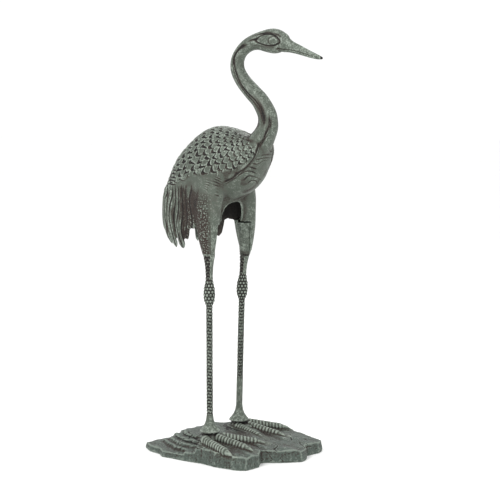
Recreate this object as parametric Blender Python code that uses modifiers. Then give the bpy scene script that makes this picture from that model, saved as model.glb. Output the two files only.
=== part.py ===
"""A cast aluminium crane standing on a rock plinth, a garden statue.

Metres, +Z up. The bird faces +X and its right side is at -Y. The origin is on the plinth's underside,
under the middle of the outline. Four castings: the hollow body with its neck and head, two legs, and
the plinth with both feet cast on it.
"""

import math

import bmesh
import bpy
import numpy as np
from mathutils import Matrix, Vector, noise

# Driving sizes of the bird
STATUE_HEIGHT = 0.880        # ground to crown
WALL = 0.0045                # thickness of the hollow casting
FIT_GAP = 0.0005             # clearance all round between two castings
REST_GAP = 0.0003            # clearance under each leg, where it stands on its foot

# Stations are in thousandths of a pattern 880 high, measured from the ground and the plane of symmetry
PATTERN_HEIGHT = 880.0
UNIT = STATUE_HEIGHT / PATTERN_HEIGHT
MIDDLE = (41.7, 18.7)        # forward and left: the middle of the whole outline, moved to the origin

# Driving sizes of the legs
ANKLE_HEIGHT = 56 * UNIT     # ground to the underside of the leg flares
SEAM_HEIGHT = 424 * UNIT     # where the thigh shells end
SOCKET_DEPTH = 59 * UNIT     # how far each leg goes up inside its thigh shell
SOCKET_LIP = 4 * UNIT        # open line left above the top of each leg
SHELL_EDGE = 58.5 * UNIT     # above the seam a thigh shell is cut away nearer the middle than this
SHELL_BEVEL = 10 * UNIT      # how much nearer the middle the cut at the seam begins
SHELL_FRONT = 60 * UNIT      # how far forward the cuts reach
SHELL_BACK = -31 * UNIT      # how far back the inner cut reaches
SEAM_BACK = -26 * UNIT       # how far back the cut at the seam reaches
SHELL_OUT = 90 * UNIT        # how far out the cut at the seam reaches
CUT_DROP = 60 * UNIT         # how far below the seam the cutting blocks begin
SHANK_RADIUS = 6.9 * UNIT
KNEE_DROP = 79 * UNIT        # seam to the middle of the knee
KNEE_RADIUS = 12.4 * UNIT
FLARE_RADIUS = 21 * UNIT
FLARE_HEIGHT = 34 * UNIT
LEG_TOP_RADIUS = 12.2 * UNIT

# Driving sizes of the plinth and feet
PLINTH_LENGTH = 328 * UNIT
PLINTH_WIDTH = 276 * UNIT
PLINTH_CREST = 43 * UNIT     # height of the rock between the feet
ANKLE_RISE = 6 * UNIT        # how much further it rises at each ankle
ANKLE_SPREAD = 28 * UNIT
LEDGE_STEP = 8 * UNIT        # height of one layer of the rock behind the feet
RIM_FALL = 3 * UNIT          # how much lower the rock is at its very rim
TOE_RADIUS = 8.6 * UNIT
TOE_RIBS = 10
RIB_RISE = 1.4 * UNIT
CLAW_LENGTH = 19 * UNIT
HUB_RADIUS = 16 * UNIT
BED_DROP = 3.5 * UNIT        # how far the rock falls away beside a toe

# Carving
SCALE_RISE = 0.0018          # depth of the feather tips on the back
SCALES_ROUND = 32            # feathers in one ring round the trunk
TIP_REACH = 0.55             # how far a rounded tip lies over the next row, in rows
# Where the feathered back ends below: along the trunk, turn from the ridge in degrees
BACK_EDGE = ((-140, 68), (-72, 78), (-16, 86), (20, 102), (48, 114), (80, 124), (110, 132))
WING_TURN = 9                # how much further round the full edge of the folded wing lies
# Length of one row of feathers by its distance back along the trunk
SCALE_LENGTH = ((-112, 9), (-60, 15), (-10, 22), (50, 21), (100, 14), (146, 9))
BIB_DEPTH = 0.0014           # the smooth breast lies this much below the mantle
WING_RISE = 0.0022           # fullness of the folded wing's lower edge
NECK_GROOVE = 0.0018
PLUME_GROOVE = 0.0012

# Mesh fineness
BODY_VOXEL = 0.0030
FLANK_ROUNDS = 44
BODY_FACETS = 3480
CAVITY_VOXEL = 0.0060
CAVITY_FACETS = 600
ROCK_FACETS = 1000

# Places worked out from these sizes, in pattern units
ANKLE = ANKLE_HEIGHT / UNIT
SEAM = SEAM_HEIGHT / UNIT
KNEE = SEAM - KNEE_DROP / UNIT
SOCKET_TOP = SEAM + SOCKET_DEPTH / UNIT
SHELL_TOP = 512              # the thigh shell's lower part hangs between this height and the seam
SHELL_REACH = SHELL_TOP - SEAM

# Trunk: a line leaning 30 degrees up to the front, with sections square to it
TRUNK_CENTRE = (-22, 597)
TRUNK_LEAN = math.radians(30)
TRUNK = (
    # along, reach above, reach below, half width
    (-150, 4, 4, 4),
    (-140, 24, 20, 20),
    (-121, 41, 38, 36),
    (-96, 55, 53.5, 48.5),
    (-60, 70, 68, 60),
    (-20, 78, 77, 66),
    (20, 80, 80, 68),
    (50, 72.5, 82, 66),
    (78, 51.5, 75, 60),
    (104, 24.5, 57, 50),
    (124, 6, 40, 37),
    (138, -5, 24, 21),
    (143, -10, 10, 5),
)

# Neck, head and beak, in the plane of symmetry: forward, height, half depth, half width
NECK = (
    (58, 616, 36, 36),
    (86, 648, 28, 30),
    (102.5, 670, 23, 25),
    (109.5, 688, 21.8, 21.5),
    (106.5, 710, 19.6, 19.2),
    (90, 735.5, 17.9, 17.5),
    (69.4, 754.2, 17.2, 16.8),
    (47.7, 774.4, 16.1, 15.6),
    (34, 793.1, 15.1, 14.6),
    (29.8, 807, 14.5, 14),
    (31.9, 822, 13.8, 13.3),
    (41.3, 836.2, 13.3, 12.8),
    (56.2, 847.1, 14.3, 13),
    (71.2, 852.7, 15.6, 13.6),
    (87.4, 855.2, 18.2, 15),
    (104.7, 855.2, 22.2, 17),
    (120.6, 854.4, 24.6, 18),
    (134.4, 852.6, 23.6, 17.5),
    (145.9, 849.7, 20, 15.5),
    (153.5, 846, 16, 12.5),
    (166.2, 841.3, 12, 9.5),
    (185.1, 835.2, 9.6, 7.2),
    (214, 824.7, 6.9, 5),
    (233.6, 818.7, 4.6, 3.8),
    (243.6, 816.5, 2, 2),
)
SKULL_STATION = 13
BEAK_STATION = 19

# Thighs, from inside the trunk down past the seam: height, forward, out, half length, half width
THIGH = (
    (645, -12, 20, 12, 8),
    (615, -10, 31, 25, 20),
    (588, -7, 40, 34, 25.5),
    (562, -5, 47, 37, 26.5),
    (538, -3, 53.5, 35, 23.5),
    (SHELL_TOP, -1, 57, 31, 20),
    (SEAM + 0.67 * SHELL_REACH, -1, 59, 27, 18.4),
    (SEAM + 0.32 * SHELL_REACH, -1, 59.5, 21, 16.4),
    (SEAM, 0, 58.8, 14, 12.4),
    (SEAM - 0.18 * SHELL_REACH, 0, 58.8, 12, 10.6),
)

# Hips: the saddle that joins both thighs under the trunk: height, forward, half length, half width
HIP = (
    (600, -35, 24, 30),
    (584, -35, 48, 56),
    (560, -35, 61, 66),
    (530, -35, 62, 66),
    (505, -35, 62, 64),
    (488, -35, 60, 62),
)

# Tail: the hollow wall behind the thighs: height, forward, half length, half width
TAIL = (
    (592, -76, 34, 36),
    (575, -82, 58, 54),
    (545, -85, 66, 59.5),
    (515, -86, 68.5, 60.5),
    (485, -85.5, 68.5, 61),
    (462, -86, 63, 57),
    (446, -86, 56, 51),
    (424, -86, 48, 43),
)
TAIL_HEM = 453

# A lock of flank feathers that hangs behind the right thigh: height, forward, out, half length, half width
FLANK_LOCK = (
    (540, -44, 58, 10, 4),
    (520, -44, 59, 14, 5),
    (495, -44, 59.5, 15, 5),
    (482, -45, 59.5, 13, 4.5),
    (474.5, -46, 59.5, 8, 3.5),
)

# The gap between thigh and tail, seen from the side: forward, height
GAP = (
    (-36, 494), (-40, 475), (-49, 463), (-58, 450), (-69, 440), (-80, 430),
    (-80, 400), (60, 400), (60, 494),
)
# The rise of the hem behind: reach to the front, half width, height
REAR_HEM = (-105, 50, 466)

# The arch between the thighs in front: height, half width
ARCH = ((531, 4), (529.5, 14), (526, 22.5), (518, 30), (506, 34.5), (480, 35.5), (400, 35.5))
ARCH_FORWARD = 30
ARCH_REACH = 90

# Plumes on the right of the tail, and repeated on the left: turn from straight behind in degrees,
# height of root and tip, half width, half thickness
PLUMES = (
    (0, 566, 458, 11, 4.5),
    (20, 564, 463, 10.5, 4.5),
    (40, 560, 462, 10.5, 4.5),
    (57, 556, 438, 9.5, 4.5),
    (75, 551, 431, 10, 4.5),
    (97, 538, 430, 10.5, 4.5),
    (113, 528, 449, 8, 4),
)

# Top of each leg, where it shows in the open side of its thigh shell: height, half length, half width
LEG_TOP = (
    (SOCKET_TOP, 17, 16),
    (SEAM + 38, 14.6, 14.4),
    (SEAM + 16, 12.9, 12.6),
    (SEAM, 12.3, 11.9),
    (SEAM - 12, 10, 10),
)

# Centre line of each leg: height, forward, out
RIGHT_LEG = ((ANKLE, 3, 58), (KNEE, 3, 58.5), (SEAM, 3, 58.8))
LEFT_LEG = ((ANKLE, -15, 58.5), (KNEE, -6, 59), (SEAM, 2.6, 58.8))

# Toes, as steps from the ankle's centre: root and claw tip
RIGHT_TOES = (((11, -31), (97, -46)), ((18, 2), (108, 8)), ((22, 14), (92, 70)))
LEFT_TOES = (((7, -14), (88, -21)), ((19, 8), (109, 25)), ((4, 28), (69, 90)))
TOE_ROOT_HEIGHT = ANKLE - 11
CLAW_TIP_HEIGHT = ANKLE - 25

# Rock outline seen from above, in shares of the plinth's length and width, anticlockwise from the front
OUTLINE = (
    (0.50, 0.06), (0.485, 0.16), (0.440, 0.215), (0.477, 0.345), (0.445, 0.42), (0.31, 0.45),
    (0.17, 0.50), (0.02, 0.485), (-0.12, 0.44), (-0.26, 0.39), (-0.36, 0.27), (-0.45, 0.16),
    (-0.475, 0.02), (-0.455, -0.12), (-0.50, -0.25), (-0.495, -0.365), (-0.415, -0.415),
    (-0.32, -0.43), (-0.265, -0.49), (-0.12, -0.47), (0.04, -0.445), (0.16, -0.455),
    (0.29, -0.44), (0.365, -0.385), (0.375, -0.25), (0.325, -0.155), (0.345, -0.12), (0.42, -0.06),
)
PLINTH_CENTRE = (0.007, 0.016)

# Height of the rock wall from back to front: forward, height
EDGE_HEIGHTS = ((-160, 13), (-100, 13), (-60, 14), (-20, 17), (20, 21), (60, 28), (100, 31), (175, 26))
FAR_EDGE_RISE = 6            # how much higher the wall is behind the left foot
# The mound between the feet: middle, and how far it reaches forward and sideways
MOUND = ((-22, 10), (98, 105))
# Roughness: waves for each unit forward, out, and the phase, then the height; calmer in front of the feet
COARSE = (0.014, 0.030, 0.060, 7.7, 3.0)
FINE = (0.028, 0.0, 0.034, 3.1, 4.0)


def smooth_rows(rows, count):
    """Rows of numbers joined by a smooth curve and read off at count even steps."""
    table = np.array(rows, float)
    last = len(table) - 1
    place = np.linspace(0, last, count)
    i = np.minimum(place.astype(int), last - 1)
    t = (place - i)[:, None]
    before = table[np.maximum(i - 1, 0)]
    start = table[i]
    end = table[i + 1]
    after = table[np.minimum(i + 2, last)]
    slope_out = (end - before) / 2
    slope_in = (after - start) / 2
    return (
        start * (2 * t**3 - 3 * t**2 + 1)
        + slope_out * (t**3 - 2 * t**2 + t)
        + end * (3 * t**2 - 2 * t**3)
        + slope_in * (t**3 - t**2)
    )


def at_height(rows, height):
    """The other columns of rows at one height, or at each of several."""
    table = smooth_rows(rows, 8 * len(rows))
    order = np.argsort(table[:, 0])
    columns = [np.interp(height, table[order, 0], table[order, k]) for k in range(1, table.shape[1])]
    return np.array(columns)


def step_up(low, high, x):
    """0 at low, 1 at high, smooth between; low may be the greater."""
    t = np.clip((x - low) / (high - low), 0, 1)
    return t * t * (3 - 2 * t)


def link(obj):
    bpy.context.scene.collection.objects.link(obj)
    return obj


def mesh_object(name, bm):
    mesh = bpy.data.meshes.new(name)
    bm.to_mesh(mesh)
    bm.free()
    return link(bpy.data.objects.new(name, mesh))


def section(centre, side, up, half_side, half_up):
    """The matrix that turns a unit circle into one elliptic section of a loft, in pattern units."""
    matrix = Matrix.Identity(4)
    side, up = Vector(side), Vector(up)
    matrix.col[0][:3] = side * half_side * UNIT
    matrix.col[1][:3] = up * half_up * UNIT
    matrix.col[2][:3] = side.cross(up)
    matrix.col[3][:3] = Vector(centre) * UNIT
    return matrix


def level(x, y, z, half_length, half_width):
    """A level section."""
    return section((x, y, z), (1, 0, 0), (0, 1, 0), half_length, half_width)


def loft(name, sections, segments):
    """A closed skin through elliptic sections."""
    bm = bmesh.new()
    rings = []
    for i, matrix in enumerate(sections):
        capped = i in (0, len(sections) - 1)
        made = bmesh.ops.create_circle(bm, cap_ends=capped, segments=segments, radius=1, matrix=matrix)
        rings.append(list({edge for vert in made["verts"] for edge in vert.link_edges}))
    for lower, upper in zip(rings, rings[1:]):
        bmesh.ops.bridge_loops(bm, edges=lower + upper)
    bmesh.ops.recalc_face_normals(bm, faces=bm.faces)
    return mesh_object(name, bm)


def block(name, low, high):
    """A box between two corners."""
    bm = bmesh.new()
    low, high = Vector(low), Vector(high)
    size = Matrix.Diagonal((high - low).to_4d())
    bmesh.ops.create_cube(bm, size=1, matrix=Matrix.Translation((low + high) / 2) @ size)
    return mesh_object(name, bm)


def side_prism(name, outline, half_width):
    """A shape drawn from the side and carried straight across, in pattern units."""
    bm = bmesh.new()
    verts = [bm.verts.new((x * UNIT, -half_width * UNIT, z * UNIT)) for x, z in outline]
    face = bm.faces.new(verts)
    grown = bmesh.ops.extrude_face_region(bm, geom=[face])
    moved = [item for item in grown["geom"] if isinstance(item, bmesh.types.BMVert)]
    bmesh.ops.translate(bm, verts=moved, vec=(0, 2 * half_width * UNIT, 0))
    bmesh.ops.recalc_face_normals(bm, faces=bm.faces)
    return mesh_object(name, bm)


def baked(obj):
    """The object with its modifiers made part of its mesh."""
    bpy.context.view_layer.update()
    graph = bpy.context.evaluated_depsgraph_get()
    mesh = bpy.data.meshes.new_from_object(obj.evaluated_get(graph))
    obj.modifiers.clear()
    obj.data = mesh
    return obj


def joined(name, objects):
    """Several closed skins put in one mesh, still overlapping."""
    bm = bmesh.new()
    for obj in objects:
        bm.from_mesh(obj.data)
        bpy.data.objects.remove(obj)
    return mesh_object(name, bm)


def fused(obj, voxel):
    """Overlapping skins made one skin."""
    remesh = obj.modifiers.new("fuse", "REMESH")
    remesh.mode = "VOXEL"
    remesh.voxel_size = voxel
    return baked(obj)


def softened(obj, rounds, weight=None):
    """The skin relaxed, everywhere or by a weight that is worked out from each point."""
    soften = obj.modifiers.new("soften", "SMOOTH")
    soften.factor = 0.5
    soften.iterations = rounds
    if weight:
        group = obj.vertex_groups.new(name="soft")
        for i, share in enumerate(weight(skin_points(obj))):
            group.add([i], float(share), "REPLACE")
        soften.vertex_group = group.name
    return baked(obj)


def skin_points(obj):
    points = np.empty(len(obj.data.vertices) * 3)
    obj.data.vertices.foreach_get("co", points)
    return points.reshape(-1, 3)


def flank_share(points):
    """1 where thighs, hips and trunk run together, 0 on the neck, the tail and the lower thighs."""
    x, y, z = (points / UNIT).T
    return step_up(478, 505, z) * step_up(680, 640, z) * step_up(-100, -80, x) * step_up(85, 60, x)


def faceted(obj, triangles):
    """The skin cut down to about this many triangles, keeping its carving."""
    obj.modifiers.new("triangles", "TRIANGULATE")
    baked(obj)
    facets = obj.modifiers.new("facets", "DECIMATE")
    facets.ratio = min(1, triangles / len(obj.data.polygons))
    return baked(obj)


def combined(obj, other, operation):
    """A Boolean of two closed meshes; the other one is used up."""
    boolean = obj.modifiers.new(operation.lower(), "BOOLEAN")
    boolean.operation = operation
    boolean.solver = "EXACT"
    boolean.use_self = operation == "UNION"
    boolean.object = other
    baked(obj)
    bpy.data.objects.remove(other)
    return obj


def trunk_sections(inset):
    ahead = Vector((math.cos(TRUNK_LEAN), 0, math.sin(TRUNK_LEAN)))
    up = Vector((-math.sin(TRUNK_LEAN), 0, math.cos(TRUNK_LEAN)))
    origin = Vector((TRUNK_CENTRE[0], 0, TRUNK_CENTRE[1]))
    made = []
    for along, above, below, width in smooth_rows(TRUNK, 40):
        centre = origin + ahead * along + up * (above - below) / 2
        depth = (above + below) / 2 - inset
        if depth > 2 and width > inset + 2:
            made.append(section(centre, (0, 1, 0), up, width - inset, depth))
    return made


def neck_sections():
    rows = smooth_rows(NECK, 120)
    ahead = np.gradient(rows[:, :2], axis=0)
    made = []
    for (x, z, depth, width), (dx, dz) in zip(rows, ahead):
        up = Vector((-dz, 0, dx)).normalized()
        made.append(section((x, 0, z), (0, 1, 0), up, width, depth))
    return made


def thigh_centre(side, height):
    """Forward and sideways place of a thigh's middle; side is -1 for the right one."""
    forward, out = at_height(THIGH, height)[:2]
    leg = RIGHT_LEG if side < 0 else LEFT_LEG
    forward += leg[-1][1] * float(step_up(SHELL_TOP + 8, SEAM, height))
    return forward, side * out


def thigh_sections(side, inset, heights):
    made = []
    for height in heights:
        x, y = thigh_centre(side, height)
        length, width = at_height(THIGH, height)[2:]
        made.append(level(x, y, height, length - inset, width - inset))
    return made


def wall_sections(rows, inset, heights):
    """Level sections of the hips or the tail."""
    made = []
    for height in heights:
        forward, length, width = at_height(rows, height)
        made.append(level(forward, 0, height, length - inset, width - inset))
    return made


def plume_sections(turn, root, tip, width, thickness):
    """One long feather lying down the outside of the tail to a blunt free point."""
    made = []
    for t in np.linspace(0, 1, 18):
        height = root + (tip - root) * float(t)
        forward, length, out = at_height(TAIL, height)
        outward = Vector((-math.cos(turn) / length, -math.sin(turn) / out, 0)).normalized()
        centre = Vector((forward - length * math.cos(turn), -out * math.sin(turn), height))
        across = outward.cross(Vector((0, 0, 1)))
        root_taper = 0.25 + 0.75 * float(step_up(0, 0.25, t))
        tip_taper = math.sqrt(max(0.03, min(1, (1.0 - t) / 0.11)))
        spread = width * (1.0 - 0.22 * t) * tip_taper * root_taper
        bulge = thickness * tip_taper * (0.35 + 0.65 * root_taper)
        made.append(section(centre + outward * 0.2, across, outward, spread, bulge))
    return made


def trunk_place(points):
    """Each point's distance along the trunk and its turn round it, 0 on the back."""
    x = points[:, 0] / UNIT - TRUNK_CENTRE[0]
    z = points[:, 2] / UNIT - TRUNK_CENTRE[1]
    along = x * math.cos(TRUNK_LEAN) + z * math.sin(TRUNK_LEAN)
    up = -x * math.sin(TRUNK_LEAN) + z * math.cos(TRUNK_LEAN)
    return along, np.arctan2(points[:, 1] / UNIT, up)


def overlapping_scales(row, column):
    """Height from 0 to 1 of rows of round feather tips, each lying over the next row."""
    height = np.zeros_like(row)
    done = np.zeros(row.shape, bool)
    base = np.floor(row)
    for back in (1, 0):
        this_row = base - back
        off = column - 0.5 * np.mod(this_row, 2)
        off = 2 * (off - np.round(off))
        tip = this_row + 1 + TIP_REACH * np.sqrt(np.clip(1 - off**2, 0, 1))
        covers = (row < tip) & ~done
        run = np.clip(1 - (tip - row) / (1 + TIP_REACH), 0, 1)
        height = np.where(covers, run**1.5, height)
        done |= covers
    return height


def scale_rows(back):
    """Rows of feathers between the neck and each place, and the length of one row there."""
    places, lengths = np.array(SCALE_LENGTH, float).T
    steps = np.arange(places[0], places[-1])
    rows = np.cumsum(1 / np.interp(steps, places, lengths))
    return np.interp(back, steps, rows), np.interp(back, places, lengths)


def back_edge(along):
    """The turn at which the feathered back ends."""
    return np.radians(np.interp(along, *np.array(BACK_EDGE, float).T))


def scale_relief(along, turn):
    """Feather tips over the back and the folded wings, largest in the middle of the back."""
    row, pitch = scale_rows(-along)
    tips = overlapping_scales(row, turn * SCALES_ROUND / (2 * math.pi))
    edge = back_edge(along)
    on_back = step_up(-146, -136, along) * step_up(116, 104, along)
    on_back *= step_up(0.12, 0, np.abs(turn) - edge)
    return SCALE_RISE * (pitch / 15) * tips * on_back


def wing_relief(along, turn):
    """The full lower edge of each folded wing."""
    edge = back_edge(along) + math.radians(WING_TURN)
    off = (np.abs(turn) - edge) / np.where(np.abs(turn) < edge, 0.30, 0.24)
    return WING_RISE * np.exp(-(off**2)) * step_up(-140, -110, along) * step_up(90, 50, along)


def bib_mask(points):
    """1 on the smooth breast between the wings."""
    x, y, z = (points / UNIT).T
    edge = np.interp(z, (560, 594, 622, 672, 706), (54, 43, 27, 15, 10))
    front = step_up(30, 50, x) * step_up(716, 696, z) * step_up(526, 556, z)
    return front * step_up(2, -1, np.abs(y) - edge)


def neck_place(points):
    """Station, height as a share of the half depth, and closeness to the neck's centre line."""
    rows = smooth_rows(NECK, 160)
    x, z = points[:, 0] / UNIT, points[:, 2] / UNIT
    nearest = np.hypot(x[:, None] - rows[:, 0], z[:, None] - rows[:, 1]).argmin(axis=1)
    ahead = np.gradient(rows[:, :2], axis=0)[nearest]
    ahead /= np.linalg.norm(ahead, axis=1)[:, None]
    dx, dz = x - rows[nearest, 0], z - rows[nearest, 1]
    height = (ahead[:, 0] * dz - ahead[:, 1] * dx) / rows[nearest, 2]
    station = nearest * (len(NECK) - 1) / (len(rows) - 1)
    near = step_up(1.5, 1.15, np.hypot(dx, dz) / rows[nearest, 2])
    return station, height, near * step_up(616, 656, z)


def neck_relief(points):
    """The long hollow down each side of the neck, the eye in its rim, and the line of the beak."""
    station, height, near = neck_place(points)
    groove = np.exp(-(((height - 0.16 * np.sin(station * 1.3)) / 0.24) ** 2))
    groove *= step_up(2.6, 4.5, station) * step_up(SKULL_STATION, SKULL_STATION - 2, station)
    ring = np.hypot((station - 16.1) / 2.4, (height - 0.14) / 0.46)
    eye = np.hypot((station - 16.4) / 1.05, (height - 0.16) / 0.34)
    rim = np.exp(-(((ring - 1) / 0.2) ** 2)) - 1.1 * step_up(1.05, 0.8, eye)
    rim *= step_up(12, 13, station) * step_up(20, 19, station)
    mouth = 0.5 * np.exp(-(((height + 0.25) / 0.14) ** 2)) * step_up(18, 19, station)
    return -NECK_GROOVE * near * (groove + rim + mouth)


def plume_relief(points):
    """Fine grooves down the tail plumes."""
    x, y, z = (points / UNIT).T
    forward, length, out = at_height(TAIL, z)
    turn = np.degrees(np.arctan2(-y / out, (forward - x) / length))
    away = np.hypot((forward - x) / length, y / out)
    groove = np.cos(np.radians(turn * 180 / 8.667)) ** 8
    mask = step_up(0.9, 0.97, away) * step_up(565, 545, z) * step_up(132, 118, np.abs(turn))
    return -PLUME_GROOVE * groove * mask


def feather_relief(points):
    """How far each point of the body's skin rises or sinks."""
    along, turn = trunk_place(points)
    bib = bib_mask(points)
    above_tail = step_up(535, 560, points[:, 2] / UNIT)
    behind_neck = step_up(110, 95, points[:, 0] / UNIT)
    rise = (scale_relief(along, turn) + wing_relief(along, turn)) * (1 - bib)
    rise *= above_tail * behind_neck
    return rise - BIB_DEPTH * bib + neck_relief(points) + plume_relief(points)


def carved(obj, relief):
    """The skin moved along its normals by a relief."""
    mesh = obj.data
    points = skin_points(obj)
    normals = np.empty(len(mesh.vertices) * 3)
    mesh.vertex_normals.foreach_get("vector", normals)
    points = points + normals.reshape(-1, 3) * relief(points)[:, None]
    mesh.vertices.foreach_set("co", points.ravel())
    mesh.update()
    return obj


def make_body():
    """The hollow casting: trunk, neck, head, thigh shells and tail, open below."""
    tail = loft("tail", wall_sections(TAIL, 0, np.linspace(592, TAIL_HEM, 18)), 44)
    combined(tail, side_prism("gap", GAP, 90), "DIFFERENCE")
    reach, half_width, height = REAR_HEM
    low = Vector((-200, -half_width, 400)) * UNIT
    high = Vector((reach, half_width, height)) * UNIT
    combined(tail, block("rear_hem", low, high), "DIFFERENCE")
    skins = [
        tail,
        loft("trunk", trunk_sections(0), 48),
        loft("neck", neck_sections(), 28),
        loft("hips", wall_sections(HIP, 0, np.linspace(596, 488, 16)), 44),
    ]
    lock = [level(x, -out, height, long, wide) for height, x, out, long, wide in smooth_rows(FLANK_LOCK, 14)]
    skins.append(loft("flank_lock", lock, 20))
    for side in (-1, 1):
        lowest = SEAM - 0.18 * SHELL_REACH
        skins.append(loft("thigh", thigh_sections(side, 0, np.linspace(645, lowest, 28)), 32))
        for turn, root, tip, width, thickness in PLUMES:
            if turn or side < 0:
                angle = -side * math.radians(turn)
                skins.append(loft("plume", plume_sections(angle, root, tip, width, thickness), 14))
    body = fused(joined("crane_body", skins), BODY_VOXEL)
    softened(body, 2)
    softened(body, FLANK_ROUNDS, flank_share)
    carved(body, feather_relief)
    faceted(body, BODY_FACETS)
    combined(body, make_cavity(), "DIFFERENCE")
    combined(body, arch_cutter(), "DIFFERENCE")
    for side in (-1, 1):
        combined(body, socket_cutter(side), "DIFFERENCE")
        for low, high in shell_cuts(side):
            combined(body, block("shell_cut", low, high), "DIFFERENCE")
    return body


def make_cavity():
    """The empty space inside the body, with its way out below."""
    inset = WALL / UNIT
    skins = [loft("trunk_inside", trunk_sections(inset), 40)]
    skins.append(loft("hips_inside", wall_sections(HIP, inset, np.linspace(592, 400, 24)), 40))
    skins.append(loft("tail_inside", wall_sections(TAIL, inset, np.linspace(588, 400, 24)), 40))
    for side in (-1, 1):
        skins.append(loft("thigh_inside", thigh_sections(side, inset, np.linspace(640, 490, 18)), 28))
    cavity = softened(fused(joined("cavity", skins), CAVITY_VOXEL), 2)
    return faceted(cavity, CAVITY_FACETS)


def arch_cutter():
    """The arched way into the hollow, from in front."""
    made = [level(ARCH_FORWARD, 0, height, ARCH_REACH, half) for height, half in ARCH]
    return loft("arch", made, 32)


def socket_cutter(side):
    """The inside of the thigh shell where the leg goes up into it."""
    made = []
    for height in np.linspace(SOCKET_TOP + 17, SEAM - 12, 8):
        x, y = thigh_centre(side, height)
        length = at_height(LEG_TOP, height)[0] + FIT_GAP / UNIT
        width = at_height(THIGH, height)[3] - WALL / UNIT
        made.append(level(x, y, height, length, width))
    return loft("socket", made, 20)


def shell_cuts(side):
    """Corners of the blocks that open a thigh shell's inner side and end it at the seam."""
    floor = SEAM_HEIGHT - CUT_DROP
    edges = sorted((0, side * SHELL_EDGE))
    top = SOCKET_TOP * UNIT + SOCKET_LIP
    yield (SHELL_BACK, edges[0], floor), (SHELL_FRONT, edges[1], top)
    edges = sorted((side * (SHELL_EDGE - SHELL_BEVEL), side * SHELL_OUT))
    yield (SEAM_BACK, edges[0], floor), (SHELL_FRONT, edges[1], SEAM_HEIGHT)


def leg_profile():
    """Height and radius of the leg from its flare to the seam."""
    foot = ANKLE_HEIGHT + REST_GAP
    flare = ((0, 1), (0.08, 0.98), (0.22, 0.68), (0.42, 0.34), (0.68, 0.11), (1, 0))
    spread = FLARE_RADIUS - SHANK_RADIUS
    made = [(foot + FLARE_HEIGHT * rise, SHANK_RADIUS + spread * out) for rise, out in flare]
    middle = KNEE * UNIT
    made += [(foot + (middle - foot) * share, SHANK_RADIUS) for share in (0.40, 0.67)]
    knee = (
        (-27, 0), (-22, 0.35), (-16, 0.78), (-8, 0.98), (0, 1), (9, 0.88), (18, 0.52), (26, 0.2), (36, 0.1),
    )
    swell = KNEE_RADIUS - SHANK_RADIUS
    made += [(middle + rise * UNIT, SHANK_RADIUS + swell * out) for rise, out in knee]
    top = SEAM_HEIGHT - FIT_GAP
    neck = ((24, 0.30), (12, 0.60), (4, 0.92), (0, 1))
    spread = LEG_TOP_RADIUS - SHANK_RADIUS
    return made + [(top - drop * UNIT, SHANK_RADIUS + spread * out) for drop, out in neck]


def make_leg(side):
    """One leg: flared ankle, shank, knee and the top that goes up into its thigh shell."""
    line = RIGHT_LEG if side < 0 else LEFT_LEG
    made = []
    for z, radius in leg_profile():
        forward, out = at_height(line, z / UNIT)
        made.append(level(forward, side * out, z / UNIT, radius / UNIT, radius / UNIT))
    leg = loft("right_leg" if side < 0 else "left_leg", made, 12)
    shown = []
    for height in np.linspace(SEAM - 12, SOCKET_TOP, 6):
        x, y = thigh_centre(side, height)
        length, width = at_height(LEG_TOP, height)
        shown.append(level(x, y, height, length, width))
    shown = loft("shown", shown, 20)
    edges = sorted((0, side * (SHELL_EDGE - FIT_GAP)))
    inner = block("inner", (-SHELL_OUT, edges[0], 0), (SHELL_OUT, edges[1], STATUE_HEIGHT))
    combined(shown, inner, "INTERSECT")
    inset = (WALL + FIT_GAP) / UNIT
    core = []
    for height in np.linspace(SEAM - 8, SOCKET_TOP - 0.3, 6):
        x, y = thigh_centre(side, height)
        length, width = at_height(THIGH, height)[2:] - inset
        core.append(level(x, y, height, min(length, at_height(LEG_TOP, height)[0] - 0.6), width))
    combined(leg, loft("core", core, 16), "UNION")
    return combined(leg, shown, "UNION")


def outline_point(share):
    """A point of the rock outline, at a share of the way round it."""
    place = share * len(OUTLINE)
    i = int(place) % len(OUTLINE)
    t = place - int(place)
    a, b = OUTLINE[i], OUTLINE[(i + 1) % len(OUTLINE)]
    return a[0] * (1 - t) + b[0] * t, a[1] * (1 - t) + b[1] * t


def every_toe():
    """Ankle, root and claw tip of each toe."""
    for side, line, toes in ((-1, RIGHT_LEG, RIGHT_TOES), (1, LEFT_LEG, LEFT_TOES)):
        ankle = Vector((line[0][1], side * line[0][2], 0))
        for root, tip in toes:
            yield ankle, ankle + Vector((*root, TOE_ROOT_HEIGHT)), ankle + Vector((*tip, CLAW_TIP_HEIGHT))


def toe_bed(x, y):
    """Height to which the rock is drawn up along the nearest toe."""
    place = Vector((x / UNIT, y / UNIT, 0))
    best = 0
    for _, root, tip in every_toe():
        run = (tip - root).to_2d()
        share = min(1, max(0, (place - root).to_2d().dot(run) / run.length_squared))
        centre = root.lerp(tip, share)
        away = (place - centre).to_2d().length * UNIT / TOE_RADIUS
        best = max(best, centre.z * UNIT - BED_DROP * (0.4 + away * away))
    return best


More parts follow.
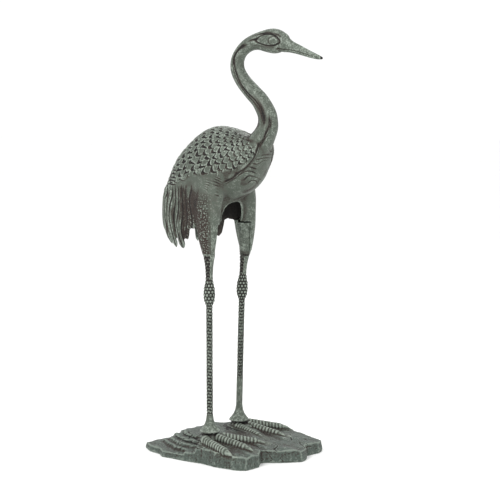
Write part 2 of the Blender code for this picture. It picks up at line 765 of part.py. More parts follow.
def rock_height(x, y, inward):
    """Height of the rock; inward is 0 at the rim and 1 in the middle."""
    ahead, out = x / UNIT, y / UNIT
    edge = float(np.interp(ahead, *np.array(EDGE_HEIGHTS).T))
    edge += FAR_EDGE_RISE * float(step_up(-70, 0, out) * step_up(30, -50, ahead))
    (middle_ahead, middle_out), (long, wide) = MOUND
    mound = math.exp(-(((ahead - middle_ahead) / long) ** 4 + ((out - middle_out) / wide) ** 4))
    mound *= float(step_up(0, 0.4, inward))
    z = edge + (PLINTH_CREST / UNIT - edge) * mound
    calm = float(step_up(0, 50, ahead))
    z += roughness(FINE, ahead, out) * (1 - 0.5 * calm) + roughness(COARSE, ahead, out)
    step = LEDGE_STEP / UNIT
    layer = math.floor(z / step)
    ledge = step * (layer + float(step_up(0.5, 0.9, z / step - layer)) + 0.4)
    z = (z + (ledge - z) * 0.7 * (1 - calm)) * UNIT
    for side, line in ((-1, RIGHT_LEG), (1, LEFT_LEG)):
        away = math.hypot(ahead - line[0][1], out - side * line[0][2]) * UNIT
        z += ANKLE_RISE * math.exp(-((away / ANKLE_SPREAD) ** 2))
    return max(z - RIM_FALL * (1 - inward) ** 6, toe_bed(x, y))


def roughness(waves, ahead, out):
    """One layer of the rock's unevenness."""
    forward, slant, sideways, phase, height = waves
    place = Vector((ahead * forward + out * slant, out * sideways, phase))
    return height * noise.noise(place)


def make_plinth():
    """The rock, with both feet cast on it."""
    segments, rings = 112, 16
    bm = bmesh.new()
    loops = []
    levels = [(0.995, 0.0), (1.0, 0.2), (0.99, 0.7)]
    levels += [(1 - 0.97 * (i + 1) / rings, None) for i in range(rings)]
    for k, (scale, share) in enumerate(levels):
        capped = k in (0, len(levels) - 1)
        made = bmesh.ops.create_circle(bm, cap_ends=capped, segments=segments, radius=1)
        for j, vert in enumerate(made["verts"]):
            across, out = outline_point(j / segments)
            rough = scale * (1 + 0.035 * noise.noise(Vector((across * 9, out * 9, 1.7))))
            x = PLINTH_CENTRE[0] + across * PLINTH_LENGTH * rough
            y = PLINTH_CENTRE[1] + out * PLINTH_WIDTH * rough
            z = rock_height(x, y, 1 - scale)
            vert.co = (x, y, z if share is None else z * share)
        loops.append(list({edge for vert in made["verts"] for edge in vert.link_edges}))
    for lower, upper in zip(loops, loops[1:]):
        bmesh.ops.bridge_loops(bm, edges=lower + upper)
    bmesh.ops.recalc_face_normals(bm, faces=bm.faces)
    rock = faceted(mesh_object("plinth", bm), ROCK_FACETS)
    for side, line in ((-1, RIGHT_LEG), (1, LEFT_LEG)):
        combined(rock, foot_hub(line[0][1], side * line[0][2]), "UNION")
    for ankle, root, tip in every_toe():
        combined(rock, toe(ankle, root, tip), "UNION")
    return rock


def foot_hub(forward, out):
    """The boss that a leg's flare stands on."""
    radius = HUB_RADIUS / UNIT
    shape = ((12, 1.35), (ANKLE - 14, 1.3), (ANKLE - 5, 1.08), (ANKLE - 1, 0.98), (ANKLE, 0.9))
    made = [level(forward, out, height, radius * share, radius * share) for height, share in shape]
    return loft("hub", made, 16)


def toe(ankle, root, tip):
    """A toe with raised scutes across it and a plain claw."""
    start = ankle + Vector((0, 0, TOE_ROOT_HEIGHT - 5))
    length = (tip - root).length
    heading = (tip - root).normalized()
    radius = TOE_RADIUS / UNIT
    claw_from = length - CLAW_LENGTH / UNIT
    pitch = claw_from / TOE_RIBS
    rise = RIB_RISE / UNIT
    stations = [(start.lerp(root, 0.35), radius * 1.05), (start.lerp(root, 0.75), radius * 1.1)]
    for k in range(TOE_RIBS):
        slim = radius * (1 - 0.2 * k / TOE_RIBS)
        stations.append((root + heading * pitch * (k + 0.1), slim - rise * 0.3))
        stations.append((root + heading * pitch * (k + 0.6), slim + rise))
    stations.append((root + heading * (claw_from + 1), radius * 0.72))
    stations.append((root + heading * (length - 8), radius * 0.5))
    stations.append((tip, radius * 0.1))
    made = []
    for i, (centre, half) in enumerate(stations):
        ahead = stations[min(i + 1, len(stations) - 1)][0] - stations[max(i - 1, 0)][0]
        ahead = Vector((ahead.x, ahead.y, 0)).normalized()
        made.append(section(centre, ahead.cross(Vector((0, 0, 1))), (0, 0, 1), half, half))
    return loft("toe", made, 7)


def painted(obj, colour, roughness, metallic):
    """The finish of a casting: grey-green verdigris over bare metal."""
    material = bpy.data.materials.new(obj.name + "_verdigris")
    material.use_nodes = True
    shader = material.node_tree.nodes["Principled BSDF"]
    shader.inputs["Base Color"].default_value = (*colour, 1)
    shader.inputs["Roughness"].default_value = roughness
    shader.inputs["Metallic"].default_value = metallic
    obj.data.materials.clear()
    obj.data.materials.append(material)
    return obj


def main():
    for obj in list(bpy.data.objects):
        bpy.data.objects.remove(obj)
    statue = bpy.data.collections.new("crane_garden_statue")
    bpy.context.scene.collection.children.link(statue)
    for obj in (make_body(), make_leg(-1), make_leg(1), make_plinth()):
        obj.data.transform(Matrix.Translation(Vector((*MIDDLE, 0)) * -UNIT))
        painted(obj, (0.16, 0.20, 0.17), 0.6, 0.35)
        statue.objects.link(obj)
        bpy.context.scene.collection.objects.unlink(obj)


main()
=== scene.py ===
# %% [markdown]
# # A crane cast in metal, standing on its rock
# The real statue is four castings with one painted finish: a hollow body, two legs that plug into it, and
# a rough rock with both feet cast on it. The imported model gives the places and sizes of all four. This
# lesson makes each casting again with its fine carving, then gives it a worn verdigris finish.

import math

import bmesh
import bpy
import numpy as np
from mathutils import Matrix, Vector, noise


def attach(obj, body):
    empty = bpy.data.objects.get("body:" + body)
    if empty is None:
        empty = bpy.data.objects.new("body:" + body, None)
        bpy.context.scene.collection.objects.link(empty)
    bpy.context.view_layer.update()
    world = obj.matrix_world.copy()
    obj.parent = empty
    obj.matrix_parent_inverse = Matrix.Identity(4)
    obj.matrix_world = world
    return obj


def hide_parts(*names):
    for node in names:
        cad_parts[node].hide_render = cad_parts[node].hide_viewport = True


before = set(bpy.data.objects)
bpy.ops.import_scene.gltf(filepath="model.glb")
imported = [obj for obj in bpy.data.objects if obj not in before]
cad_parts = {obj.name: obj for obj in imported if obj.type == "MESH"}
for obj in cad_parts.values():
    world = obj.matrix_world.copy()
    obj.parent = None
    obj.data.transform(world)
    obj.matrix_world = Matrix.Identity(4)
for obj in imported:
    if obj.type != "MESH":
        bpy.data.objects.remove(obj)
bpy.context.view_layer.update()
print("castings in the frame:", sorted(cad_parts))

# %% [markdown]
# ## Tables of stations
# A bird has no straight edges, so its shape is kept as short tables of ellipses along a line, in
# millimetres above the ground and forward of the hips. A smooth curve through each table gives as many
# sections as we like, so the same table serves a rough solid and this fine one.

# %% Stations of the body
UNIT = 0.001
MIDDLE = (41.7, 18.7)
TRUNK_CENTRE = (-22, 597)
TRUNK_LEAN = math.radians(30)
# Along the trunk, reach above, reach below, half width
TRUNK = (
    (-150, 4, 4, 4), (-140, 24, 20, 20), (-121, 41, 38, 36), (-96, 55, 53.5, 48.5), (-60, 70, 68, 60),
    (-20, 78, 77, 66), (20, 80, 80, 68), (50, 72.5, 82, 66), (78, 51.5, 75, 60), (104, 24.5, 57, 50),
    (124, 6, 40, 37), (138, -5, 24, 21), (143, -10, 10, 5),
)
# Forward, height, half depth, half width, from the neck's root to the tip of the beak
NECK = (
    (58, 616, 36, 36), (86, 648, 28, 30), (102.5, 670, 23, 25), (109.5, 688, 21.8, 21.5),
    (106.5, 710, 19.6, 19.2), (90, 735.5, 17.9, 17.5), (69.4, 754.2, 17.2, 16.8),
    (47.7, 774.4, 16.1, 15.6), (34, 793.1, 15.1, 14.6), (29.8, 807, 14.5, 14),
    (31.9, 822, 13.8, 13.3), (41.3, 836.2, 13.3, 12.8), (56.2, 847.1, 14.3, 13),
    (71.2, 852.7, 15.6, 13.6), (87.4, 855.2, 18.2, 15), (104.7, 855.2, 22.2, 17),
    (120.6, 854.4, 24.6, 18), (134.4, 852.6, 23.6, 17.5), (145.9, 849.7, 20, 15.5),
    (153.5, 846, 16, 12.5), (166.2, 841.3, 12, 9.5), (185.1, 835.2, 9.6, 7.2),
    (214, 824.7, 6.9, 5), (233.6, 818.7, 4.6, 3.8), (243.6, 816.5, 2, 2),
)
SEAM, SOCKET_TOP, SHELL_TOP = 424, 483, 512
# How far forward each thigh leans at its lower end; -1 is the right side and 1 the left
THIGH_LEAN = {-1: 3, 1: 2.6}
# Height, forward, out, half length, half width
THIGH = (
    (645, -12, 20, 12, 8), (615, -10, 31, 25, 20), (588, -7, 40, 34, 25.5), (562, -5, 47, 37, 26.5),
    (538, -3, 53.5, 35, 23.5), (512, -1, 57, 31, 20), (483, -1, 59, 27, 18.4), (452, -1, 59.5, 21, 16.4),
    (424, 0, 58.8, 14, 12.4), (408, 0, 58.8, 12, 10.6),
)
# Height, forward, half length, half width
HIP = ((600, -35, 24, 30), (584, -35, 48, 56), (560, -35, 61, 66), (530, -35, 62, 66), (505, -35, 62, 64),
       (488, -35, 60, 62))
TAIL = ((592, -76, 34, 36), (575, -82, 58, 54), (545, -85, 66, 59.5), (515, -86, 68.5, 60.5),
        (485, -85.5, 68.5, 61), (462, -86, 63, 57), (446, -86, 56, 51), (424, -86, 48, 43))
TAIL_HEM = 453
# Forward, height of the gap between the tail and the thighs, seen from the side
GAP = (
    (-36, 494), (-40, 475), (-49, 463), (-58, 450), (-69, 440), (-80, 430), (-80, 400), (60, 400), (60, 494),
)
# Height, half width of the arch between the thighs
ARCH = ((531, 4), (529.5, 14), (526, 22.5), (518, 30), (506, 34.5), (480, 35.5), (400, 35.5))
# Turn from straight behind, height of root and tip, half width, half thickness
PLUMES = (
    (0, 566, 458, 11, 4.5), (20, 564, 463, 10.5, 4.5), (40, 560, 462, 10.5, 4.5), (57, 556, 438, 9.5, 4.5),
    (75, 551, 431, 10, 4.5), (97, 538, 430, 10.5, 4.5), (113, 528, 449, 8, 4),
)
# A lock of flank feathers behind the right thigh: height, forward, out, half length, half width
FLANK_LOCK = (
    (540, -44, 58, 10, 4), (520, -44, 59, 14, 5), (495, -44, 59.5, 15, 5), (482, -45, 59.5, 13, 4.5),
    (474.5, -46, 59.5, 8, 3.5),
)
print("the body is drawn with", len(TRUNK) + len(NECK) + len(THIGH) + len(HIP) + len(TAIL), "stations")


# %% Reading the tables
def smooth_rows(rows, count):
    """Rows of numbers joined by a smooth curve and read off at count even steps."""
    table = np.array(rows, float)
    last = len(table) - 1
    place = np.linspace(0, last, count)
    i = np.minimum(place.astype(int), last - 1)
    t = (place - i)[:, None]
    start, end = table[i], table[i + 1]
    slope_out = (end - table[np.maximum(i - 1, 0)]) / 2
    slope_in = (table[np.minimum(i + 2, last)] - start) / 2
    return (
        start * (2 * t**3 - 3 * t**2 + 1) + slope_out * (t**3 - 2 * t**2 + t)
        + end * (3 * t**2 - 2 * t**3) + slope_in * (t**3 - t**2)
    )


def at_height(rows, height):
    """The other columns of rows at one height, or at each of several."""
    table = smooth_rows(rows, 8 * len(rows))
    order = np.argsort(table[:, 0])
    return np.array([np.interp(height, table[order, 0], table[order, k]) for k in range(1, table.shape[1])])


def step_up(low, high, x):
    """0 at low, 1 at high, smooth between; low may be the greater."""
    t = np.clip((x - low) / (high - low), 0, 1)
    return t * t * (3 - 2 * t)


def within(start, full, fading, end, x):
    """1 from full to fading, 0 before start and past end, smooth between."""
    return step_up(start, full, x) * step_up(end, fading, x)


def bump(value, middle, spread):
    """1 at the middle, fading on both sides."""
    return np.exp(-(((value - middle) / spread) ** 2))


print("the thigh is", at_height(THIGH, 500)[2:].round(1), "mm in half length and half width at 500 mm")

# %% [markdown]
# ## Lofts
# An ellipse is a circle that a matrix has stretched, turned and moved. bmesh makes the circle and takes
# the matrix, and bridge_loops joins each circle to the next, so no list of faces is ever written. Caps on
# the first and last one close the skin, which remeshing and cutting both need.


# %% Skins through sections
def mesh_object(name, bm):
    mesh = bpy.data.meshes.new(name)
    bm.to_mesh(mesh)
    bm.free()
    obj = bpy.data.objects.new(name, mesh)
    bpy.context.scene.collection.objects.link(obj)
    return obj


def section(centre, side, up, half_side, half_up):
    """The matrix that turns a unit circle into one elliptic section of a loft."""
    matrix = Matrix.Identity(4)
    side, up = Vector(side), Vector(up)
    matrix.col[0][:3] = side * half_side * UNIT
    matrix.col[1][:3] = up * half_up * UNIT
    matrix.col[2][:3] = side.cross(up)
    matrix.col[3][:3] = Vector(centre) * UNIT
    return matrix


def level(x, y, z, half_length, half_width):
    return section((x, y, z), (1, 0, 0), (0, 1, 0), half_length, half_width)


def edges_of(verts):
    return list({edge for vert in verts for edge in vert.link_edges})


def bridged(name, bm, rings):
    """Each ring of edges joined to the next, as one closed skin."""
    for lower, upper in zip(rings, rings[1:]):
        bmesh.ops.bridge_loops(bm, edges=lower + upper)
    bmesh.ops.recalc_face_normals(bm, faces=bm.faces)
    return mesh_object(name, bm)


def loft(name, sections, segments):
    """A closed skin through elliptic sections."""
    bm = bmesh.new()
    rings = []
    for i, matrix in enumerate(sections):
        capped = i in (0, len(sections) - 1)
        made = bmesh.ops.create_circle(bm, cap_ends=capped, segments=segments, radius=1, matrix=matrix)
        rings.append(edges_of(made["verts"]))
    return bridged(name, bm, rings)


def block(name, low, high):
    """A box between two corners, in millimetres."""
    bm = bmesh.new()
    low, high = Vector(low) * UNIT, Vector(high) * UNIT
    size = Matrix.Diagonal((high - low).to_4d())
    bmesh.ops.create_cube(bm, size=1, matrix=Matrix.Translation((low + high) / 2) @ size)
    return mesh_object(name, bm)


# %% Joining, relaxing and cutting
def baked(obj):
    """The object with its modifiers made part of its mesh."""
    bpy.context.view_layer.update()
    mesh = bpy.data.meshes.new_from_object(obj.evaluated_get(bpy.context.evaluated_depsgraph_get()))
    obj.modifiers.clear()
    obj.data = mesh
    return obj


def joined(name, objects):
    """Several closed skins put in one mesh, still overlapping."""
    bm = bmesh.new()
    for obj in objects:
        bm.from_mesh(obj.data)
        bpy.data.objects.remove(obj)
    return mesh_object(name, bm)


def fused(obj, voxel):
    """Overlapping skins made one skin of even small squares."""
    remesh = obj.modifiers.new("fuse", "REMESH")
    remesh.mode = "VOXEL"
    remesh.voxel_size = voxel
    remesh.use_smooth_shade = True
    return baked(obj)


def numbers(collection, name, width):
    """One property of every item, read into an array."""
    values = np.empty(len(collection) * width)
    collection.foreach_get(name, values)
    return values.reshape(-1, width) if width > 1 else values


def softened(obj, rounds, weight=None):
    """The skin relaxed, everywhere or by a weight that is worked out from each point."""
    soften = obj.modifiers.new("soften", "SMOOTH")
    soften.factor = 0.5
    soften.iterations = rounds
    if weight:
        group = obj.vertex_groups.new(name="soft")
        for i, share in enumerate(weight(numbers(obj.data.vertices, "co", 3))):
            if share > 0:
                group.add([i], float(share), "REPLACE")
        soften.vertex_group = group.name
    return baked(obj)


def combined(obj, other, operation):
    """A Boolean of two closed meshes; the other one is used up and leaves its material on the cut."""
    boolean = obj.modifiers.new(operation.lower(), "BOOLEAN")
    boolean.operation = operation
    boolean.solver = "EXACT"
    boolean.use_self = operation == "UNION"
    boolean.material_mode = "TRANSFER"
    boolean.object = other
    baked(obj)
    bpy.data.objects.remove(other)
    return obj


# %% [markdown]
# ## The body's skins
# The founder's model for such a bird is clay: trunk, neck, thighs and tail are pressed together and
# their joins smoothed away. A voxel remesh does the pressing. The smoothing is a Smooth modifier whose
# vertex group is full only at the flanks, so the neck and the plumes stay crisp.


# %% Sections of trunk, neck, thighs and tail
def trunk_sections(inset, count):
    ahead = Vector((math.cos(TRUNK_LEAN), 0, math.sin(TRUNK_LEAN)))
    up = Vector((-math.sin(TRUNK_LEAN), 0, math.cos(TRUNK_LEAN)))
    origin = Vector((TRUNK_CENTRE[0], 0, TRUNK_CENTRE[1]))
    made = []
    for along, above, below, width in smooth_rows(TRUNK, count):
        centre = origin + ahead * along + up * (above - below) / 2
        depth = (above + below) / 2 - inset
        if depth > 2 and width > inset + 2:
            made.append(section(centre, (0, 1, 0), up, width - inset, depth))
    return made


def neck_sections():
    rows = smooth_rows(NECK, 200)
    made = []
    for (x, z, depth, width), (dx, dz) in zip(rows, np.gradient(rows[:, :2], axis=0)):
        up = Vector((-dz, 0, dx)).normalized()
        made.append(section((x, 0, z), (0, 1, 0), up, width, depth))
    return made


def thigh_centre(side, height):
    """Forward and sideways place of a thigh's middle."""
    forward, out = at_height(THIGH, height)[:2]
    return forward + THIGH_LEAN[side] * step_up(SHELL_TOP + 8, SEAM, height), side * out


def along_thigh(side, heights, half_sizes):
    """Level sections about a thigh's middle; half_sizes gives half length and half width at a height."""
    made = []
    for height in heights:
        x, y = thigh_centre(side, height)
        made.append(level(float(x), float(y), height, *half_sizes(height)))
    return made


def thigh_sections(side, inset, heights):
    return along_thigh(side, heights, lambda height: at_height(THIGH, height)[2:] - inset)


def wall_sections(rows, inset, heights):
    made = []
    for height in heights:
        forward, length, width = at_height(rows, height)
        made.append(level(forward, 0, height, length - inset, width - inset))
    return made


def plume_sections(turn, root, tip, width, thickness):
    """One long feather lying down the outside of the tail to a blunt free point."""
    made = []
    for t in np.linspace(0, 1, 36):
        height = root + (tip - root) * float(t)
        forward, length, out = at_height(TAIL, height)
        outward = Vector((-math.cos(turn) / length, -math.sin(turn) / out, 0)).normalized()
        centre = Vector((forward - length * math.cos(turn), -out * math.sin(turn), height))
        across = outward.cross(Vector((0, 0, 1)))
        root_taper = 0.25 + 0.75 * float(step_up(0, 0.25, t))
        tip_taper = math.sqrt(max(0.03, min(1, (1.0 - t) / 0.11)))
        spread = width * (1.0 - 0.22 * t) * tip_taper * root_taper
        bulge = thickness * tip_taper * (0.35 + 0.65 * root_taper)
        made.append(section(centre + outward * 0.2, across, outward, spread, bulge))
    return made


# %% The skins pressed together
BODY_VOXEL = 0.0015
# The rounds of smoothing were chosen on squares this wide
COARSE_VOXEL = 0.003


def side_prism(name, outline, half_width):
    """A shape drawn from the side and carried straight across."""
    bm = bmesh.new()
    face = bm.faces.new([bm.verts.new((x * UNIT, -half_width * UNIT, z * UNIT)) for x, z in outline])
    grown = bmesh.ops.extrude_face_region(bm, geom=[face])
    moved = [item for item in grown["geom"] if isinstance(item, bmesh.types.BMVert)]
    bmesh.ops.translate(bm, verts=moved, vec=(0, 2 * half_width * UNIT, 0))
    bmesh.ops.recalc_face_normals(bm, faces=bm.faces)
    return mesh_object(name, bm)


def flank_share(points):
    """1 where thighs, hips and trunk run together, 0 on the neck, the tail and the lower thighs."""
    x, _, z = (points / UNIT).T
    return within(478, 505, 640, 680, z) * within(-100, -80, 60, 85, x)


def press_body():
    tail = loft("tail", wall_sections(TAIL, 0, np.linspace(592, TAIL_HEM, 30)), 72)
    combined(tail, side_prism("gap", GAP, 90), "DIFFERENCE")
    combined(tail, block("rear_hem", (-200, -50, 400), (-105, 50, 466)), "DIFFERENCE")
    skins = [
        tail,
        loft("trunk", trunk_sections(0, 80), 96),
        loft("neck", neck_sections(), 48),
        loft("hips", wall_sections(HIP, 0, np.linspace(596, 488, 30)), 80),
    ]
    lock = [level(x, -out, height, long, wide) for height, x, out, long, wide in smooth_rows(FLANK_LOCK, 30)]
    skins.append(loft("flank_lock", lock, 40))
    for side in (-1, 1):
        skins.append(loft("thigh", thigh_sections(side, 0, np.linspace(645, 408, 60)), 56))
        for turn, root, tip, width, thickness in PLUMES:
            if turn or side < 0:
                angle = -side * math.radians(turn)
                skins.append(loft("plume", plume_sections(angle, root, tip, width, thickness), 24))
    pressed = fused(joined("body", skins), BODY_VOXEL)
    fineness = (COARSE_VOXEL / BODY_VOXEL) ** 2
    softened(pressed, round(2 * fineness))
    return softened(pressed, round(44 * fineness), flank_share)


body = press_body()
print("the pressed body has", len(body.data.polygons), "faces")

# %% [markdown]
# ## Feathers
# The carver cut the feathers into the smooth clay with a gouge. Here each point of the skin moves along
# its normal by a relief that is worked out from its place: rows of round tips on the back, a full edge to
# the folded wing, a long hollow down the neck. Each relief also says how dark its cuts are: on the real
# statue dark patina stays in every cut, the shade in the cuts is painted with it, and a Sculpt brush would
# have to be painted twice.

# %% Rows of feather tips on the back
SCALES_ROUND = 32
TIP_REACH = 0.55
# Rise of a tip in a row of full length, and depth of the cut round it, in metres
TIP_RISE, TIP_CUT, FULL_ROW = 0.0017, 0.0012, 15
# Length of one row of feathers by its distance back along the trunk
SCALE_LENGTH = ((-134, 8), (-112, 9), (-60, 15), (-10, 22), (50, 21), (100, 14), (146, 9))
# Where the feathered back ends below: along the trunk, turn from the ridge in degrees
BACK_EDGE = ((-140, 68), (-72, 78), (-16, 86), (20, 102), (48, 114), (80, 124), (110, 132))


def trunk_place(points):
    """Each point's distance along the trunk and its turn round it, 0 on the back."""
    x = points[:, 0] / UNIT - TRUNK_CENTRE[0]
    z = points[:, 2] / UNIT - TRUNK_CENTRE[1]
    along = x * math.cos(TRUNK_LEAN) + z * math.sin(TRUNK_LEAN)
    up = -x * math.sin(TRUNK_LEAN) + z * math.cos(TRUNK_LEAN)
    return along, np.arctan2(points[:, 1] / UNIT, up)


def overlapping_scales(row, column, reach=TIP_REACH):
    """Height of rows of round tips from 0 to 1, rows past the nearest tip, and nearness to its middle."""
    height = np.zeros_like(row)
    done = np.zeros(row.shape, bool)
    base = np.floor(row)
    for back in (1, 0):
        this_row = base - back
        off = column - 0.5 * np.mod(this_row, 2)
        off = 2 * (off - np.round(off))
        tip = this_row + 1 + reach * np.sqrt(np.clip(1 - off**2, 0, 1))
        covers = (row < tip) & ~done
        run = np.clip(1 - (tip - row) / (1 + reach), 0, 1)
        height = np.where(covers, run**1.5, height)
        if back:
            past, middle = row - tip, 1 - np.abs(off)
        done |= covers
    return height, past, middle


def each_its_own(row, column):
    """A number from -1 to 1 for every tip, so that no two look alike."""
    return np.sin(12.9 * np.floor(row) + 7.8 * np.floor(column))


def scale_rows(back):
    """Rows of feathers between the neck and each place, and the length of one row there."""
    places, lengths = np.array(SCALE_LENGTH, float).T
    steps = np.arange(places[0], places[-1])
    rows = np.cumsum(1 / np.interp(steps, places, lengths))
    return np.interp(back, steps, rows), np.interp(back, places, lengths)


def back_edge(along):
    """The turn at which the feathered back ends."""
    return np.radians(np.interp(along, *np.array(BACK_EDGE, float).T))


def back_feathers(along, turn):
    """Rise in metres and darkness of the feather tips over the back and the folded wings."""
    row, pitch = scale_rows(-along)
    column = turn * SCALES_ROUND / (2 * math.pi)
    row = row + 0.10 * np.sin(3.1 * column + 1.7 * np.floor(row)) + 0.05 * np.sin(7.3 * column)
    tips, past, middle = overlapping_scales(row, column)
    here = within(-146, -136, 120, 130, along) * step_up(0.16, 0, np.abs(turn) - back_edge(along))
    reach = past * pitch
    fat = (0.14 + 0.22 * middle) * pitch
    # The dark crescent below each tip is patina in the cut together with a painted shadow of the tip.
    cut = step_up(fat + 0.12 * pitch, fat, reach) * step_up(-0.10 * pitch, 0.0, reach)
    net = step_up(45, 85, along)
    cut *= step_up(0.02, 0.40, middle) * (1 - 0.7 * net) + 0.7 * net
    own = 0.8 + 0.3 * each_its_own(row, column)
    bold = 0.62 + 0.75 * bump(along, -5, 85) * bump(np.abs(turn), 1.0, 0.8)
    cut *= own * bold * (0.45 + 0.55 * step_up(0.05, 0.35, np.abs(turn)))
    return (TIP_RISE * (pitch / FULL_ROW) * tips - TIP_CUT * cut) * here, cut * here


# %% The wing's edge, the smooth breast and the plumes
def wing_edge(along, turn):
    """The full lower edge of each folded wing."""
    edge = back_edge(along) + math.radians(9)
    off = (np.abs(turn) - edge) / np.where(np.abs(turn) < edge, 0.30, 0.24)
    return 0.0022 * bump(off, 0, 1) * within(-140, -110, 50, 90, along)


def bib_side(points):
    """How far each point lies outside the edge of the smooth breast, in millimetres."""
    _, y, z = (points / UNIT).T
    return np.abs(y) - np.interp(z, (560, 594, 622, 672, 706), (54, 43, 27, 15, 10))


def breast_front(points):
    """1 on the whole front between the thighs and the neck."""
    x, _, z = (points / UNIT).T
    return step_up(30, 50, x) * within(526, 556, 696, 716, z)


def bib_mask(points):
    """1 on the smooth breast between the wings."""
    return breast_front(points) * step_up(2, -1, bib_side(points))


def unevenness(points, size, phase, stretch=(1, 1, 1)):
    """Soft noise from -1 to 1 with lumps of about this size in millimetres."""
    wave = np.array(stretch) * 1000 / size
    return np.array([noise.noise(Vector(place)) for place in points * wave + phase])


# Degrees round the tail from groove to groove, and height of one dark band above the plumes
GROOVE_TURN, BAND_HEIGHT = 8.667, 7.4


def plume_carving(points):
    """Rise in metres and darkness of the shafts and barbs of the tail plumes."""
    x, y, z = (points / UNIT).T
    forward, length, out = at_height(TAIL, z)
    turn = np.degrees(np.arctan2(-y / out, (forward - x) / length))
    away = np.hypot((forward - x) / length, y / out)
    here = step_up(0.88, 0.95, away) * step_up(570, 548, z) * step_up(136, 124, np.abs(turn))
    sway = turn + 1.8 * np.sin(z / 13 + turn / 11)
    groove = np.cos(np.radians(sway * 180 / GROOVE_TURN)) ** 10
    strands = unevenness(points, 8, 21.0, (1, 1, 0.20)) + 0.5 * unevenness(points, 3.4, 33.0, (1, 1, 0.14))
    blotches = step_up(-0.1, 0.5, unevenness(points, 13, 61.0, (1, 1, 0.7))) * step_up(66, 90, np.abs(turn))
    rise = -0.0011 * groove - 0.0004 * step_up(0.0, 0.6, -strands)
    dark = 0.9 * groove + 0.22 * step_up(0.05, 0.7, -strands) + 0.5 * blotches + 0.2
    bands = step_up(-0.1, 0.7, np.sin(2 * math.pi * z / BAND_HEIGHT)) * step_up(-84, -98, x)
    bands *= within(560, 566, 592, 600, z)
    return rise * here - 0.0009 * bands, dark * here + 1.1 * bands


# %% The neck's hollow, the eye and the line of the beak
SKULL_STATION = 13


def neck_place(points):
    """Station, height as a share of the half depth, and closeness to the neck's centre line."""
    rows = smooth_rows(NECK, 200)
    station, height, near = np.zeros((3, len(points)))
    zone = (points[:, 2] > 0.612) & (points[:, 0] > 0.0)
    x, z = points[zone, 0] / UNIT, points[zone, 2] / UNIT
    nearest = np.hypot(x[:, None] - rows[:, 0], z[:, None] - rows[:, 1]).argmin(axis=1)
    ahead = np.gradient(rows[:, :2], axis=0)[nearest]
    ahead /= np.linalg.norm(ahead, axis=1)[:, None]
    dx, dz = x - rows[nearest, 0], z - rows[nearest, 1]
    past = ahead[:, 0] * dx + ahead[:, 1] * dz
    height[zone] = (ahead[:, 0] * dz - ahead[:, 1] * dx) / rows[nearest, 2]
    station[zone] = nearest * (len(NECK) - 1) / (len(rows) - 1) + np.clip(past / 18, -0.2, 0.2)
    near[zone] = step_up(1.5, 1.15, np.hypot(dx, dz) / rows[nearest, 2]) * step_up(616, 656, z)
    return station, height, near


def neck_carving(points):
    """Rise in metres and darkness of the carving on neck and head."""
    station, height, near = neck_place(points)
    on_neck = within(2.2, 4.0, SKULL_STATION - 1.5, SKULL_STATION, station)
    middle = 0.16 * np.sin(station * 1.3)
    groove = bump(height, middle, 0.26) * on_neck
    strand = bump(height, middle + 0.05, 0.055) * within(4, 5, 9, 11, station)
    streaks = unevenness(np.stack([station * 0.9, height * 9, np.sign(points[:, 1]) * 3], axis=1), 1000, 0.5)
    wide = bump(height, middle - 0.05, 0.55) * on_neck * step_up(-0.35, 0.35, streaks)
    ring = np.hypot((station - 16.2) / 2.1, (height - 0.06) / 0.46)
    eye = np.hypot((station - 17.1) / 0.75, (height - 0.02) / 0.30)
    tail = bump(height, 0.16, 0.12) * within(12.4, 13.6, 14.2, 14.8, station)
    rim = bump(ring, 1, 0.13) * within(12, 13, 19, 20, station)
    disc = step_up(1.1, 0.8, eye)
    mouth_line = np.interp(station, (18.2, 19.5, 21, 23), (-0.66, -0.60, -0.35, -0.1))
    mouth = bump(height, mouth_line, 0.10) * within(17.2, 18.2, 22, 23, station)
    brow = bump(height, 0.60, 0.10) * within(13.4, 14.6, 17.8, 18.4, station)
    cheek = bump(height, -0.52, 0.12) * within(13, 14, 17, 17.6, station)
    rise = -0.0018 * groove + 0.0009 * strand - 0.0011 * rim - 0.0010 * tail + 0.0013 * disc
    rise += -0.0006 * brow - 0.0008 * mouth - 0.0004 * cheek
    dark = 0.85 * groove * (1 - 0.75 * strand) + 0.75 * wide + 0.95 * rim + 0.8 * tail
    dark += 0.7 * mouth + 0.9 * brow + 0.5 * cheek + 0.5 * bump(eye, 1.25, 0.2) - 0.7 * disc
    dark += 0.9 * step_up(22.9, 23.6, station)
    dark += 0.45 * step_up(0.1, 0.6, streaks) * within(11, 13, 18, 21, station) * (1 - disc)
    return rise * near, dark * near + 1.2 * step_up(237, 241, points[:, 0] / UNIT)


# %% Every carving on the body together
# Degrees round a thigh, from facing out, to the middle of its smooth front
THIGH_FRONT = 96


def thigh_turn(points, side):
    """Turn round a thigh, 0 facing out and 90 degrees facing forward, and closeness to the thigh."""
    x, y, z = (points / UNIT).T
    forward, out = thigh_centre(side, z)
    length = at_height(THIGH, z)[2]
    turn = np.degrees(np.arctan2(x - forward, side * (y - out)))
    near = step_up(1.35, 1.1, np.hypot(x - forward, y - out) / length)
    return turn, near * step_up(410, 418, z) * step_up(572, 540, z)


